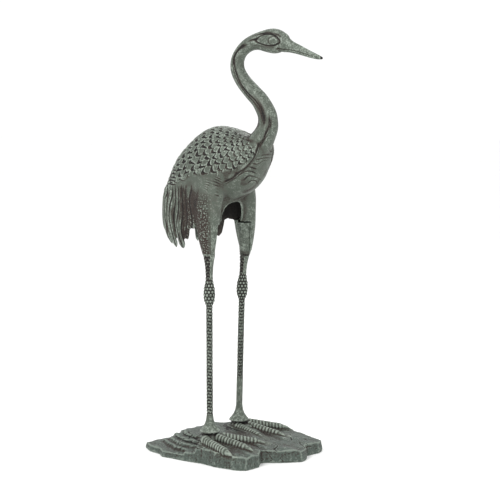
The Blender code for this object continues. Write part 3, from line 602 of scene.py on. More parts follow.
def breast_lines(points):
    """Faint brushed lines: beside the mantle's edge, across the breast, and round the top of each thigh."""
    x, _, z = (points / UNIT).T
    side = bib_side(points)
    waver = unevenness(points, 26, 11.0)
    locks = bump(side, 3 + 2 * waver, 2.8) + 0.4 * bump(side, 11 + 3 * waver, 2.2) * step_up(600, 640, z)
    across = step_up(0.45, 0.9, np.sin(z * 0.62 + 7 * waver)) * step_up(3, -6, side) * step_up(560, 580, z)
    across *= step_up(-0.1, 0.4, unevenness(points, 34, 17.0)) * step_up(650, 620, z)
    ring = np.hypot(x + 2, z - 512)
    arcs = step_up(0.2, 0.9, np.sin(ring * 1.25 + 5 * waver)) * within(38, 50, 72, 86, ring)
    arcs *= step_up(0, 14, x) * step_up(2, 8, side) * step_up(-0.3, 0.3, unevenness(points, 20, 27.0))
    return locks * breast_front(points), across * step_up(40, 60, x), arcs * step_up(530, 545, z)


def body_carving(points):
    """Rise in metres, darkness and beading of each point of the body's skin."""
    along, turn = trunk_place(points)
    along += 3.5 * unevenness(points, 30, 51.0)
    turn += 0.07 * unevenness(points, 24, 57.0)
    x, y, z = (points / UNIT).T
    bib = bib_mask(points)
    tips, cuts = back_feathers(along, turn)
    on_neck = step_up(55, 85, x) * step_up(650, 664, z)
    open_back = step_up(535, 560, z) * step_up(122, 112, x) * (1 - on_neck) * (1 - bib)
    rise = (tips + wing_edge(along, turn)) * open_back - 0.0014 * bib
    dark = 1.7 * cuts * open_back
    for more_rise, more_dark in (neck_carving(points), plume_carving(points)):
        rise += more_rise
        dark += more_dark
    locks, across, arcs = breast_lines(points)
    rise -= 0.0008 * locks + 0.0004 * across + 0.0004 * arcs
    dark += 1.2 * locks + 0.9 * across + 1.0 * arcs
    beads = np.zeros(len(points))
    for side in (-1, 1):
        round_thigh, near = thigh_turn(points, side)
        strip = step_up(26, 72, np.abs(round_thigh - THIGH_FRONT)) * near
        beads = np.maximum(beads, strip * step_up(575, 500, z))
        line = bump(round_thigh, 52, 3) * near * step_up(492, 470, z)
        rise -= 0.0006 * line
        dark += 0.5 * line + 0.22 * strip * step_up(530, 440, z)
    behind = step_up(30, 45, np.abs(y)) * within(-74, -58, -30, -18, x) * step_up(560, 530, z)
    blotches = unevenness(points, 16, 41.0, (1, 1, 0.6))
    beads = np.maximum(beads, 0.8 * behind)
    dark += (0.12 + 0.6 * blotches) * behind
    dark += 0.6 * step_up(0.05, 0.45, blotches) * step_up(15, 40, x) * step_up(630, 590, z) * (1 - beads)
    return rise, dark, beads


def keep_on_points(obj, name, values):
    obj.data.attributes.new(name, "FLOAT", "POINT").data.foreach_set("value", values)


def carved(obj, carving):
    """The skin moved along its normals, with darkness and beading kept on its points for the finish."""
    mesh = obj.data
    points = numbers(mesh.vertices, "co", 3)
    normals = numbers(mesh.vertex_normals, "vector", 3)
    rise, dark, beads = carving(points)
    mesh.vertices.foreach_set("co", (points + normals * rise[:, None]).ravel())
    mesh.update()
    keep_on_points(obj, "cut", dark)
    keep_on_points(obj, "beads", beads)
    return obj


carved(body, body_carving)
neck_point = np.array([[0.09, -0.017, 0.735]])
print("the neck's hollow is", round(-1000 * float(body_carving(neck_point)[0][0]), 2), "mm deep")

# %% [markdown]
# ## The hollow
# A casting is hollow to save metal, and this one is open below. The inside is the same loft as the
# outside, smaller by the wall. A Boolean set to transfer materials leaves the cutter's own material on the
# cut, so the inside gets its dark finish of painted shade with no picking of faces.

# %% Wall, gaps and finishes named before they are made
WALL = 4.5
FIT_GAP = 0.5
# How far out the inner half of each thigh shell is cut away
SHELL_EDGE = 58.5
# Top of each leg inside its thigh: height, half length, half width
LEG_TOP = ((483, 17, 16), (462, 14.6, 14.4), (440, 12.9, 12.6), (424, 12.3, 11.9), (412, 10, 10))
verdigris = bpy.data.materials.new("worn_verdigris_and_shade")
# The inside's finish paints the shade inside the hollow body.
dark_inside = bpy.data.materials.new("inside_in_painted_shade")
rock_finish = bpy.data.materials.new("verdigris_and_shade_on_rock")
for finish in (verdigris, dark_inside, rock_finish):
    finish.use_nodes = True


def wearing(obj, material):
    obj.data.materials.clear()
    obj.data.materials.append(material)
    return obj


# %% Hollowing the body
def make_cavity():
    skins = [loft("trunk_inside", trunk_sections(WALL, 60), 64)]
    skins.append(loft("hips_inside", wall_sections(HIP, WALL, np.linspace(592, 400, 30)), 64))
    skins.append(loft("tail_inside", wall_sections(TAIL, WALL, np.linspace(588, 400, 30)), 64))
    for side in (-1, 1):
        skins.append(loft("thigh_inside", thigh_sections(side, WALL, np.linspace(640, 490, 24)), 40))
    return softened(fused(joined("cavity", skins), 0.005), 3)


def cut_from_body(cutter, finish=verdigris):
    combined(body, wearing(cutter, finish), "DIFFERENCE")


def socket(side):
    """The room for a leg's top inside its thigh."""
    def half_sizes(height):
        return at_height(LEG_TOP, height)[0] + FIT_GAP, at_height(THIGH, height)[3] - WALL
    heights = np.linspace(SOCKET_TOP + 17, SEAM - 12, 14)
    return loft("socket", along_thigh(side, heights, half_sizes), 56)


def hollow_body():
    wearing(body, verdigris)
    cut_from_body(make_cavity(), dark_inside)
    cut_from_body(loft("arch", [level(30, 0, height, 90, half) for height, half in ARCH], 64))
    for side in (-1, 1):
        cut_from_body(socket(side))
        near, far = sorted((0, side * SHELL_EDGE))
        cut_from_body(block("inner_cut", (-31, near, 380), (60, far, 487)))
        near, far = sorted((side * (SHELL_EDGE - 10), side * 90))
        cut_from_body(block("seam_cut", (-26, near, 380), (60, far, SEAM)))


hollow_body()
print("the hollow body has", len(body.data.polygons), "faces and", [m.name for m in body.data.materials])

# %% [markdown]
# ## The legs
# A crane's leg is a straight rod with a swollen knee, covered in scales. A lathe could turn the rod, but
# the left leg leans a little, so circles are set along a line and bridged. The scales are small: rows of
# overlapping tips on the shank, and large beads round the knee.

# %% Profile and centre line
ANKLE, KNEE = 56, 345
SHANK_RADIUS = 6.9
# Height, forward, out of each leg's centre line
LEG_LINES = {
    -1: ((ANKLE, 3, 58), (KNEE, 3, 58.5), (SEAM, 3, 58.8)),
    1: ((ANKLE, -15, 58.5), (KNEE, -6, 59), (SEAM, 2.6, 58.8)),
}
# Forward and sideways place of each ankle
ANKLES = {side: (line[0][1], side * line[0][2]) for side, line in LEG_LINES.items()}


def leg_profile():
    """Height and radius of the leg from its flare to the seam."""
    foot = ANKLE + 0.3
    flare = ((0, 1), (0.08, 0.98), (0.22, 0.68), (0.42, 0.34), (0.68, 0.11), (1, 0))
    made = [(foot + 34 * rise, SHANK_RADIUS + 14.1 * out) for rise, out in flare]
    made += [(foot + (KNEE - foot) * share, SHANK_RADIUS) for share in (0.40, 0.67)]
    knee = (
        (-27, 0), (-22, 0.35), (-16, 0.78), (-8, 0.98), (0, 1), (9, 0.88), (18, 0.52), (26, 0.2), (36, 0.1),
    )
    made += [(KNEE + rise, SHANK_RADIUS + 5.5 * out) for rise, out in knee]
    neck = ((24, 0.30), (12, 0.60), (4, 0.92), (0, 1))
    return np.array(made + [(SEAM - 0.5 - drop, SHANK_RADIUS + 5.3 * out) for drop, out in neck])


# %% Scales on the shank and beads round the knee
LEG_ROW = 6.6
SCALES_ROUND_LEG, BEADS_ROUND_KNEE = 7, 10
# Where the scales of each shank end below; the left leg's flare stays bare further up
SCALES_FROM = {-1: 92, 1: 150}


def knee_beads(turn, z):
    """Height from 0 to 1 of staggered round beads."""
    row = (z - KNEE) / LEG_ROW
    column = turn * BEADS_ROUND_KNEE / (2 * math.pi) + 0.5 * np.mod(np.floor(row), 2)
    return np.abs(np.sin(math.pi * row) * np.cos(math.pi * column)) ** 0.7


def leg_carving(side):
    """The carving of one leg, as a function of its points."""
    def carving(points):
        x, y, z = (points / UNIT).T
        forward, out = at_height(LEG_LINES[side], z)
        turn = np.arctan2(x - forward, side * (y - side * out))
        column = turn * SCALES_ROUND_LEG / (2 * math.pi)
        row = (SEAM - z) / LEG_ROW + 0.12 * np.sin(column * 4)
        tips, past, _ = overlapping_scales(row, column, 0.8)
        low = SCALES_FROM[side]
        shank = within(low - 5, low + 5, KNEE - 30, KNEE - 22, z)
        upper = within(KNEE + 26, KNEE + 34, SEAM + 1, SEAM + 8, z)
        rough = step_up(38, 56, np.abs(np.degrees(turn) - THIGH_FRONT))
        scales = shank + upper * rough
        own = 0.9 + 0.35 * each_its_own(row, column)
        edge = within(-0.30, -0.05, 0.60, 0.90, past) * scales * own
        bead = knee_beads(turn, z)
        knee = within(KNEE - 30, KNEE - 22, KNEE + 24, KNEE + 32, z)
        rise = 0.0009 * (tips - 0.7) * scales - 0.0009 * edge + 0.0014 * (bead - 0.9) * knee
        low_dark = 0.45 * step_up(240, 170, z) if side > 0 else 0
        dark = (1.8 + low_dark) * edge + 1.8 * step_up(0.70, 0.3, bead) * knee + 0.34 * knee
        dark += 0.08 + (0.28 + low_dark) * scales + 0.40 * upper * rough
        # The dark band at the bottom of the flare is a painted shadow of the gap under its rim.
        foot = step_up(ANKLE + 3.5, ANKLE + 1, z)
        return rise, dark + 1.3 * foot, 0.5 * upper * rough
    return carving


# %% The leg and its top
def shank_and_knee(side):
    """The round part of a leg, from its flared ankle to the seam."""
    heights, radii = leg_profile().T
    made = []
    for z in np.linspace(heights[0], heights[-1], 430):
        forward, out = at_height(LEG_LINES[side], z)
        radius = float(np.interp(z, heights, radii))
        made.append(level(float(forward), side * float(out), float(z), radius, radius))
    return carved(loft("leg", made, 52), leg_carving(side))


def shown_top(side):
    """The half of a leg's top that stands in the open slot of its thigh."""
    heights = np.linspace(412, SOCKET_TOP, 40)
    shown = loft("shown", along_thigh(side, heights, lambda height: at_height(LEG_TOP, height)), 64)
    near, far = sorted((0, side * (SHELL_EDGE - FIT_GAP)))
    return combined(shown, block("inner", (-90, near, 0), (90, far, 880)), "INTERSECT")


def core_of_top(side):
    """The slimmer core of a leg's top, clear of the thigh's wall."""
    def half_sizes(height):
        length, width = at_height(THIGH, height)[2:] - WALL - FIT_GAP
        return min(length, float(at_height(LEG_TOP, height)[0]) - 0.6), width
    return loft("core", along_thigh(side, np.linspace(416, SOCKET_TOP - 0.3, 12), half_sizes), 48)


def make_leg(side):
    leg = shank_and_knee(side)
    shown = shown_top(side)
    combined(leg, core_of_top(side), "UNION")
    return combined(leg, shown, "UNION")


legs = {side: wearing(make_leg(side), verdigris) for side in (-1, 1)}
print("each leg has about", len(legs[-1].data.polygons), "faces")

# %% [markdown]
# ## The rock and the feet
# The plinth imitates split stone. Rings of points spread from its middle to a broken outline, and a height
# is worked out for each: a mound between the feet, thin layers behind, and a bed drawn up along each toe.
# Toes are lofts with a swelling for every scute, and a remesh casts rock and toes in one.

# %% Outline and toes
# In metres; the outline is in shares of them
PLINTH_LENGTH, PLINTH_WIDTH = 0.328, 0.276
PLINTH_CENTRE = (0.007, 0.016)
OUTLINE = (
    (0.50, 0.06), (0.485, 0.16), (0.440, 0.215), (0.477, 0.345), (0.445, 0.42), (0.31, 0.45),
    (0.17, 0.50), (0.02, 0.485), (-0.12, 0.44), (-0.26, 0.39), (-0.36, 0.27), (-0.45, 0.16),
    (-0.475, 0.02), (-0.455, -0.12), (-0.50, -0.25), (-0.495, -0.365), (-0.415, -0.415),
    (-0.32, -0.43), (-0.265, -0.49), (-0.12, -0.47), (0.04, -0.445), (0.16, -0.455),
    (0.29, -0.44), (0.365, -0.385), (0.375, -0.25), (0.325, -0.155), (0.345, -0.12), (0.42, -0.06),
)
TOE_START = ANKLE - 16
TOE_RADIUS, CLAW_LENGTH, SCUTES = 8.6, 19, 10
# Forward and sideways of the ankle: root and claw tip of each toe
TOES = {
    -1: (((11, -31), (97, -46)), ((18, 2), (108, 8)), ((22, 14), (92, 70))),
    1: (((7, -14), (88, -21)), ((19, 8), (109, 25)), ((4, 28), (69, 90))),
}


def outline_point(share):
    """A point of the rock outline, at a share of the way round it."""
    place = share * len(OUTLINE)
    i, t = int(place) % len(OUTLINE), place - int(place)
    a, b = OUTLINE[i], OUTLINE[(i + 1) % len(OUTLINE)]
    return a[0] * (1 - t) + b[0] * t, a[1] * (1 - t) + b[1] * t


def every_toe():
    """Ankle, root and claw tip of each toe."""
    for side, toes in TOES.items():
        ankle = Vector((*ANKLES[side], 0))
        for root, tip in toes:
            yield ankle, ankle + Vector((*root, ANKLE - 11)), ankle + Vector((*tip, ANKLE - 25))


def toe(ankle, root, tip):
    """A toe with raised scutes across it and a plain claw."""
    start = ankle + Vector((0, 0, TOE_START))
    length, heading = (tip - root).length, (tip - root).normalized()
    claw_from = length - CLAW_LENGTH
    stations = [(start.lerp(root, share), TOE_RADIUS * thick) for share, thick in ((0.35, 1.05), (0.75, 1.1))]
    for k in np.arange(0, SCUTES, 0.125):
        slim = TOE_RADIUS * (1 - 0.2 * k / SCUTES)
        swell = 1.9 * abs(math.sin(math.pi * k)) ** 0.6 - 0.7
        stations.append((root + heading * claw_from * (float(k) + 0.1) / SCUTES, slim + swell))
    for before_tip, thick in ((CLAW_LENGTH - 1, 0.72), (14, 0.66), (8, 0.5), (3, 0.3), (0, 0.1)):
        stations.append((root + heading * (length - before_tip), TOE_RADIUS * thick))
    made = []
    for i, (centre, half) in enumerate(stations):
        ahead = stations[min(i + 1, len(stations) - 1)][0] - stations[max(i - 1, 0)][0]
        ahead = Vector((ahead.x, ahead.y, 0)).normalized()
        made.append(section(centre, ahead.cross(Vector((0, 0, 1))), (0, 0, 1), half, half))
    return loft("toe", made, 32)


# %% Height of the rock
# Height of the rim by the distance forward, and thickness of one layer of the stone
EDGE_HEIGHTS = ((-160, 13), (-100, 13), (-60, 14), (-20, 17), (20, 21), (60, 28), (100, 31), (175, 26))
LEDGE = 6.5
MOUND_TOP = 43


def toe_bed(x, y):
    """Height to which the rock is drawn up along the nearest toe."""
    place, best = Vector((x, y, 0)), 0
    for _, root, tip in TOE_LINES:
        run = (tip - root).to_2d()
        share = min(1, max(0, (place - root).to_2d().dot(run) / run.length_squared))
        centre = root.lerp(tip, share)
        away = (place - centre).to_2d().length / TOE_RADIUS
        best = max(best, centre.z - 3.5 * (0.4 + away * away))
    return best


def rock_height(x, y, inward):
    """Height of the rock; inward is 0 at the rim and 1 in the middle."""
    edge = float(np.interp(x, *np.array(EDGE_HEIGHTS).T))
    edge += 6 * float(step_up(-70, 0, y) * step_up(30, -50, x))
    mound = math.exp(-(((x + 22) / 98) ** 4 + ((y - 10) / 105) ** 4)) * float(step_up(0, 0.4, inward))
    z = edge + (MOUND_TOP - edge) * mound
    calm = float(step_up(0, 50, x))
    z += (4 - 2 * calm) * noise.noise(Vector((x * 0.028, y * 0.034, 3.1)))
    z += 3 * noise.noise(Vector((x * 0.014 + y * 0.030, y * 0.060, 7.7)))
    layer = math.floor(z / LEDGE)
    ledge = LEDGE * (layer + float(step_up(0.70, 0.77, z / LEDGE - layer)) + 0.4)
    z += (ledge - z) * 0.85 * (1 - calm)
    for forward, out in ANKLES.values():
        z += 6 * math.exp(-((math.hypot(x - forward, y - out) / 28) ** 2))
    return max(z - 3 * (1 - inward) ** 6, toe_bed(x, y))


# %% Rock and hubs
ROCK_SEGMENTS, ROCK_RINGS = 420, 56
HUB_RADIUS = 16


def make_rock():
    """Rings from the ground up the broken wall, then inwards over the top."""
    bm = bmesh.new()
    rings = []
    levels = [(0.995, 0.0), (0.997, 0.1), (1.0, 0.2), (0.998, 0.4), (0.99, 0.7), (0.988, 0.85)]
    levels += [(1 - 0.97 * (i + 0.6) / ROCK_RINGS, None) for i in range(ROCK_RINGS)]
    for k, (scale, share) in enumerate(levels):
        capped = k in (0, len(levels) - 1)
        made = bmesh.ops.create_circle(bm, cap_ends=capped, segments=ROCK_SEGMENTS, radius=1)
        for j, vert in enumerate(made["verts"]):
            across, out = outline_point(j / ROCK_SEGMENTS)
            rough = scale * (1 + 0.035 * noise.noise(Vector((across * 9, out * 9, 1.7))))
            x = PLINTH_CENTRE[0] + across * PLINTH_LENGTH * rough
            y = PLINTH_CENTRE[1] + out * PLINTH_WIDTH * rough
            z = rock_height(x / UNIT, y / UNIT, 1 - scale) * UNIT
            vert.co = (x, y, z if share is None else z * share)
        rings.append(edges_of(made["verts"]))
    return bridged("rock", bm, rings)


def hub(forward, out):
    """The boss that a leg's flare stands on."""
    shape = ((12, 1.35), (ANKLE - 14, 1.3), (ANKLE - 5, 1.08), (ANKLE - 1, 0.98), (ANKLE, 0.9))
    made = [level(forward, out, height, HUB_RADIUS * thick, HUB_RADIUS * thick) for height, thick in shape]
    return loft("hub", made, 48)


# %% The carving of the toes and of the stone
def toe_marks(points):
    """1 on the toes and 0 on the stone, and 1 in each groove between two scutes."""
    toes, grooves = np.zeros((2, len(points)))
    for ankle, root, tip in TOE_LINES:
        for a, b in ((root, tip), (ankle + Vector((0, 0, TOE_START)), root)):
            run = np.array(b - a)
            length = np.linalg.norm(run)
            share = np.clip(((points / UNIT - np.array(a)) @ run) / length**2, 0, 1)
            away = np.linalg.norm(points / UNIT - (np.array(a) + share[:, None] * run), axis=1)
            this_toe = step_up(13.0, 10.8, away - 2 * (1 - share))
            toes = np.maximum(toes, this_toe)
            if b is tip:
                scute = share * length / (length - CLAW_LENGTH) * SCUTES - 0.1
                groove = step_up(0.55, 0.15, np.abs(np.sin(math.pi * scute)))
                groove *= this_toe * within(-0.1, 0.2, SCUTES - 0.2, SCUTES + 0.2, scute)
                grooves = np.maximum(grooves, groove)
    return toes, grooves


def rock_carving(points):
    """Split stone: flutes down the walls, thin layers on top, grit everywhere but on the toes."""
    x, y, z = (points / UNIT).T
    toes, grooves = toe_marks(points)
    bare = 1 - toes
    wall = step_up(-1, -4, z - np.array([rock_height(a, b, 0.3) for a, b in zip(x, y)]))
    flutes = unevenness(points, 5, 5.0, (1, 1, 0.10)) * wall
    lumps = unevenness(points, 18, 2.0)
    grit = unevenness(points, 4.0, 9.0) + 0.5 * unevenness(points, 2.2, 19.0)
    layers = 1 - np.abs(unevenness(points, 38, 4.0, (0.7, 1.5, 3.2)))
    crack = step_up(0.955, 0.985, layers) * (1 - 0.7 * wall)
    crack *= step_up(-0.05, 0.25, unevenness(points, 42, 71.0))
    riser = np.mod(z / LEDGE - 0.4 + 0.1 * grit, 1)
    riser = within(0.12, 0.20, 0.32, 0.42, riser) * step_up(30, 5, x) * (1 - wall)
    off_ground = step_up(0.2, 3, z)
    rise = 0.35 * flutes + 1.2 * lumps * (1 - 0.6 * wall) + 0.2 * grit - 1.1 * crack - 0.9 * riser
    rise *= bare * off_ground
    dark = bare * (0.11 - 0.20 * lumps - 0.18 * grit + 1.2 * crack + 1.1 * riser - 0.05 * flutes)
    dark += 0.9 * grooves
    for forward, out in ANKLES.values():
        from_leg = np.hypot(x - forward, y - out)
        # The dark ring round the top of each hub is a painted shadow under the leg's flare.
        dark += 1.2 * step_up(27, 22, from_leg) * step_up(ANKLE - 9, ANKLE - 4, z)
        from_toes = np.hypot(x - forward - 45, y - out)
        dark += 0.45 * bare * step_up(78, 50, from_toes) * step_up(26, 34, z)
    return rise * UNIT, dark, toes


TOE_LINES = list(every_toe())
print("the rock is", round(rock_height(-20, 10, 1.0), 1), "mm high between the feet")


# %% The finished plinth
ROCK_VOXEL = 0.0015


def make_plinth():
    skins = [make_rock()]
    skins += [hub(*ankle) for ankle in ANKLES.values()]
    skins += [toe(*line) for line in TOE_LINES]
    cast = fused(joined("plinth", skins), ROCK_VOXEL)
    return wearing(carved(softened(cast, 1), rock_carving), rock_finish)


plinth = make_plinth()
print("the plinth has", len(plinth.data.polygons), "faces")

# %% [markdown]
# ## Where dirt settles and shade is painted
# Dark patina stays in hollows, and shade falls in hollows of every size, also where no gouge cut them, as
# between thigh and tail; the finish paints both from the same measure. A point lies in a hollow when its
# neighbours' average stands above it. A few rounds of averaging measure small hollows and many rounds
# measure wide ones. Both are kept on the points, because a Pointiness node would read only the mesh's own
# edges.


# %% Hollows measured on the mesh
def hollows(obj, rounds):
    """How far each point lies below the average of its surroundings, in millimetres."""
    mesh = obj.data
    points = numbers(mesh.vertices, "co", 3)
    normals = numbers(mesh.vertex_normals, "vector", 3)
    ends = numbers(mesh.edges, "vertices", 2).astype(int)
    count = np.bincount(ends.ravel(), minlength=len(points)) + 1.0
    mean = points.copy()
    for _ in range(rounds):
        total = mean.copy()
        for axis in range(3):
            total[:, axis] += np.bincount(ends[:, 0], mean[ends[:, 1], axis], len(points))
            total[:, axis] += np.bincount(ends[:, 1], mean[ends[:, 0], axis], len(points))
        mean = total / count[:, None]
    return ((mean - points) * normals).sum(axis=1) / UNIT


def keep_hollows(obj, fine, wide):
    """Fine and wide hollows kept on the points; each has its rounds of averaging and its full depth."""
    for name, rounds, depth in (("fine_hollow", *fine), ("wide_hollow", *wide)):
        values = np.clip(hollows(obj, rounds) / depth, -1, 1)
        keep_on_points(obj, name, values)
        print(obj.name, name, "reaches", round(float(values.max()), 2))


keep_hollows(body, (3, 0.35), (60, 3.0))
keep_hollows(plinth, (3, 0.4), (60, 3.0))
for side in (-1, 1):
    keep_hollows(legs[side], (3, 0.3), (30, 2.0))

# %% [markdown]
# ## Fewer triangles on the body
# The remesh made its squares equally small on the feathers and on the plain belly. A Decimate modifier
# joins them where the skin hardly bends, and blends the numbers kept on the points as it goes.


# %% The body thinned out
BODY_SHARE = 0.75


def thinned(obj, share):
    """The skin with this share of its triangles left, most of them where it bends."""
    thin = obj.modifiers.new("thin", "DECIMATE")
    thin.ratio = share
    return baked(obj)


thinned(body, BODY_SHARE)
print("the body is thinned to", len(body.data.polygons), "faces")

# %% [markdown]
# ## Shader maths as Python
# The finish is sums and products of masks. Written as node links they are hard to read, so one small class
# wraps a socket and turns +, -, * into Math nodes. Every other node comes from one method that sets the
# node's own options first and its sockets next.


# %% Sockets that can be added and multiplied
class Value:
    """A socket's number, which knows +, - and *."""

    def __init__(self, socket):
        self.socket = socket
        self.tree = socket.id_data

    def maths(self, operation, first, second):
        return add_node(self.tree, "ShaderNodeMath", {"operation": operation}, {0: first, 1: second})

    def __add__(self, other):
        return self.maths("ADD", self, other)

    def __radd__(self, other):
        return self.maths("ADD", other, self)

    def __sub__(self, other):
        return self.maths("SUBTRACT", self, other)

    def __rsub__(self, other):
        return self.maths("SUBTRACT", other, self)

    def __mul__(self, other):
        return self.maths("MULTIPLY", self, other)

    def __rmul__(self, other):
        return self.maths("MULTIPLY", other, self)


def add_node(tree, kind, settings=None, sockets=None, output=0):
    """A node with its options and then its sockets set; gives one of its outputs."""
    node = tree.nodes.new(kind)
    for name, value in (settings or {}).items():
        setattr(node, name, value)
    for place, value in (sockets or {}).items():
        if isinstance(value, Value):
            tree.links.new(value.socket, node.inputs[place])
        else:
            node.inputs[place].default_value = value
    return Value(node.outputs[output])


# %% The parts of a finish
def where(tree):
    """Each point's place in the object's own metres."""
    return add_node(tree, "ShaderNodeTexCoord", output=3)


def kept(tree, name):
    """A number kept on the mesh's points."""
    return add_node(tree, "ShaderNodeAttribute", {"attribute_name": name}, output=2)


def cloudy(tree, size, detail=3.0):
    """Noise that fills 0 to 1, with patches of this size in millimetres."""
    sockets = {"Vector": where(tree), "Scale": 1000 / size, "Detail": detail, "Roughness": 0.6}
    return ramped(tree, add_node(tree, "ShaderNodeTexNoise", None, sockets), 0.30, 0.70)


def cells(tree, size, randomness=0.8):
    """Distance from the middle of cells of this size in millimetres."""
    sockets = {"Vector": where(tree), "Scale": 1000 / size, "Randomness": randomness}
    return add_node(tree, "ShaderNodeTexVoronoi", None, sockets)


def ramped(tree, value, low, high):
    """0 at low and 1 at high, smooth between."""
    settings = {"interpolation_type": "SMOOTHSTEP"}
    return add_node(tree, "ShaderNodeMapRange", settings, {"Value": value, "From Min": low, "From Max": high})


def blended(tree, share, first, second):
    settings = {"data_type": "RGBA", "clamp_factor": True}
    return add_node(tree, "ShaderNodeMix", settings, {0: share, 6: first, 7: second}, output=2)


print("the finish is built from", [f.__name__ for f in (kept, cloudy, cells, ramped, blended)])

# %% [markdown]
# ## Verdigris
# The founder paints a grey-green over the metal and rubs a dark brown wax into it. Wax stays in cuts and
# hollows and is wiped from the high places, and shade falls in the same cuts and hollows. So the brown share,
# wax and painted shade together, is the cuts and hollows kept on the points, broken up by noise of three
# sizes; black in the deepest cuts is painted shade, and everything else is green with paler rubbed edges.

# %% Colours of the paint
GREEN = (0.078, 0.093, 0.074, 1)
PALE_GREEN = (0.305, 0.350, 0.300, 1)
BROWN = (0.031, 0.022, 0.017, 1)
STONE_GREEN = (0.070, 0.090, 0.076, 1)
BLACK = (0.008, 0.007, 0.006, 1)


def shader_of(material):
    return material.node_tree, material.node_tree.nodes["Principled BSDF"]


def plug(tree, value, shader, socket):
    tree.links.new(value.socket, shader.inputs[socket])


def set_all_over(shader, **values):
    """Sockets that need no texture, set to one value each."""
    for name, value in values.items():
        shader.inputs[name.replace("_", " ")].default_value = value


def waxed_and_shaded(tree, colour, wax_and_shade, deep):
    """The colour under a share of brown patina and painted shade, and black where the cuts are deep, as
    painted shade.
    """
    return blended(tree, deep, blended(tree, wax_and_shade, colour, BROWN), BLACK)


def roughened(tree, shader, height, strength=0.6, distance=0.001):
    sockets = {"Strength": strength, "Distance": distance, "Height": height}
    plug(tree, add_node(tree, "ShaderNodeBump", None, sockets), shader, "Normal")


# %% Green paint and brown wax
BEAD_SIZE = 4.0


def paint_verdigris(material):
    tree, shader = shader_of(material)
    beading = kept(tree, "beads")
    mottle = ramped(tree, cells(tree, BEAD_SIZE), 0.26, 0.48) * beading
    grain, spots, patch = cloudy(tree, 2.6), cloudy(tree, 8.0), cloudy(tree, 34, 2.0)
    cut, fine = kept(tree, "cut"), kept(tree, "fine_hollow")
    unevenly = (grain - 0.5) * 0.55 + (spots - 0.5) * 0.40 + (patch - 0.5) * 0.40
    # The brown share is wax and painted shade: the cuts carry the shadow under each feather tip and the wide
    # hollows the shade between parts; the black of deep cuts is painted shade.
    wax_and_shade = cut + fine * 0.7 + kept(tree, "wide_hollow") * 0.6 + mottle + unevenly
    share = ramped(tree, wax_and_shade, -0.25, 0.90)
    deep = ramped(tree, cut + fine * 0.6 + (grain - 0.5) * 0.5, 0.7, 1.35)
    rubbed = (grain - 0.5) * 0.7 + (spots - 0.5) * 0.5 - fine * 0.5 + (beading - mottle) * 0.35
    colour = blended(tree, ramped(tree, rubbed, 0.0, 0.65) * 0.85, GREEN, PALE_GREEN)
    plug(tree, waxed_and_shaded(tree, colour, share, deep), shader, "Base Color")
    plug(tree, 0.50 + (grain - 0.5) * 0.3 + share * 0.12, shader, "Roughness")
    set_all_over(shader, Metallic=0.25, Specular_IOR_Level=0.35)
    roughened(tree, shader, grain * 0.5 + spots * 0.6 - mottle * 0.7, 0.55, 0.0008)


paint_verdigris(verdigris)
print("verdigris has", len(verdigris.node_tree.nodes), "nodes")


# %% The inside in painted shade, and the rock
DEEP_INSIDE_SHADE = (0.016, 0.014, 0.012, 1)
HEM_PAINTED_LIGHT = (0.075, 0.066, 0.056, 1)


def paint_inside(material):
    tree, shader = shader_of(material)
    grain = cloudy(tree, 5)
    height = add_node(tree, "ShaderNodeSeparateXYZ", None, {0: where(tree)}, output=2)
    low = ramped(tree, height, 0.505, 0.470)
    # Black and a dark soot colour are painted shade deep inside; lower down, towards the open hem, a dusty
    # brown takes over as painted light that reaches in.
    colour = blended(tree, low * (0.5 + grain * 0.5), blended(tree, grain, BLACK, DEEP_INSIDE_SHADE), HEM_PAINTED_LIGHT)
    plug(tree, colour, shader, "Base Color")
    plug(tree, 0.75 + grain * 0.15, shader, "Roughness")
    set_all_over(shader, Metallic=0.1)
    roughened(tree, shader, grain)


def paint_rock(material):
    tree, shader = shader_of(material)
    grain, grit, patch = cloudy(tree, 2.2), cloudy(tree, 7, 4.0), cloudy(tree, 45, 2.0)
    cut, fine = kept(tree, "cut"), kept(tree, "fine_hollow")
    unevenly = (grain - 0.5) * 0.45 + (grit - 0.5) * 0.40 + (patch - 0.5) * 0.30
    # The brown share also paints shade, in hollows and under each leg's flare; black in deep cuts is painted
    # shade.
    wax_and_shade = cut + fine * 1.5 + kept(tree, "wide_hollow") * 0.25 + unevenly
    share = ramped(tree, wax_and_shade, -0.25, 1.1)
    deep = ramped(tree, cut + fine + (grain - 0.5) * 0.4, 0.7, 1.35)
    toes = kept(tree, "beads")
    rubbed = ramped(tree, (grit - 0.5) * 0.6 - fine, 0.05, 0.7)
    stone = blended(tree, toes, STONE_GREEN, GREEN)
    colour = blended(tree, rubbed * (0.45 + toes * 0.3), stone, PALE_GREEN)
    plug(tree, waxed_and_shaded(tree, colour, share, deep), shader, "Base Color")
    plug(tree, 0.6 + (grain - 0.5) * 0.3, shader, "Roughness")
    set_all_over(shader, Metallic=0.2, Specular_IOR_Level=0.35)
    roughened(tree, shader, grain * 0.5 + grit * 0.8)


paint_inside(dark_inside)
paint_rock(rock_finish)
print("inside and rock are painted")

# %% [markdown]
# ## Into the frame
# The tables are drawn about the hips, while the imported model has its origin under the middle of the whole
# outline. So each mesh is moved once, inside its object, and the object stays at the origin. Then each
# casting takes the place of its plain solid.

# %% Each casting in place of its solid
SHARP_ANGLE = math.radians(52)
CASTINGS = (
    (body, "crane_body", "fine_body"), (legs[-1], "right_leg", "fine_right_leg"),
    (legs[1], "left_leg", "fine_left_leg"), (plinth, "plinth", "fine_plinth"),
)
for casting, node, name in CASTINGS:
    casting.data.transform(Matrix.Translation(Vector((*MIDDLE, 0)) * -UNIT))
    casting.data.shade_smooth()
    casting.data.set_sharp_from_angle(angle=SHARP_ANGLE)
    casting.name = name
    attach(casting, "root")
    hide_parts(node)
    casting.data.calc_loop_triangles()
    print(name, "has", len(casting.data.loop_triangles), "triangles")

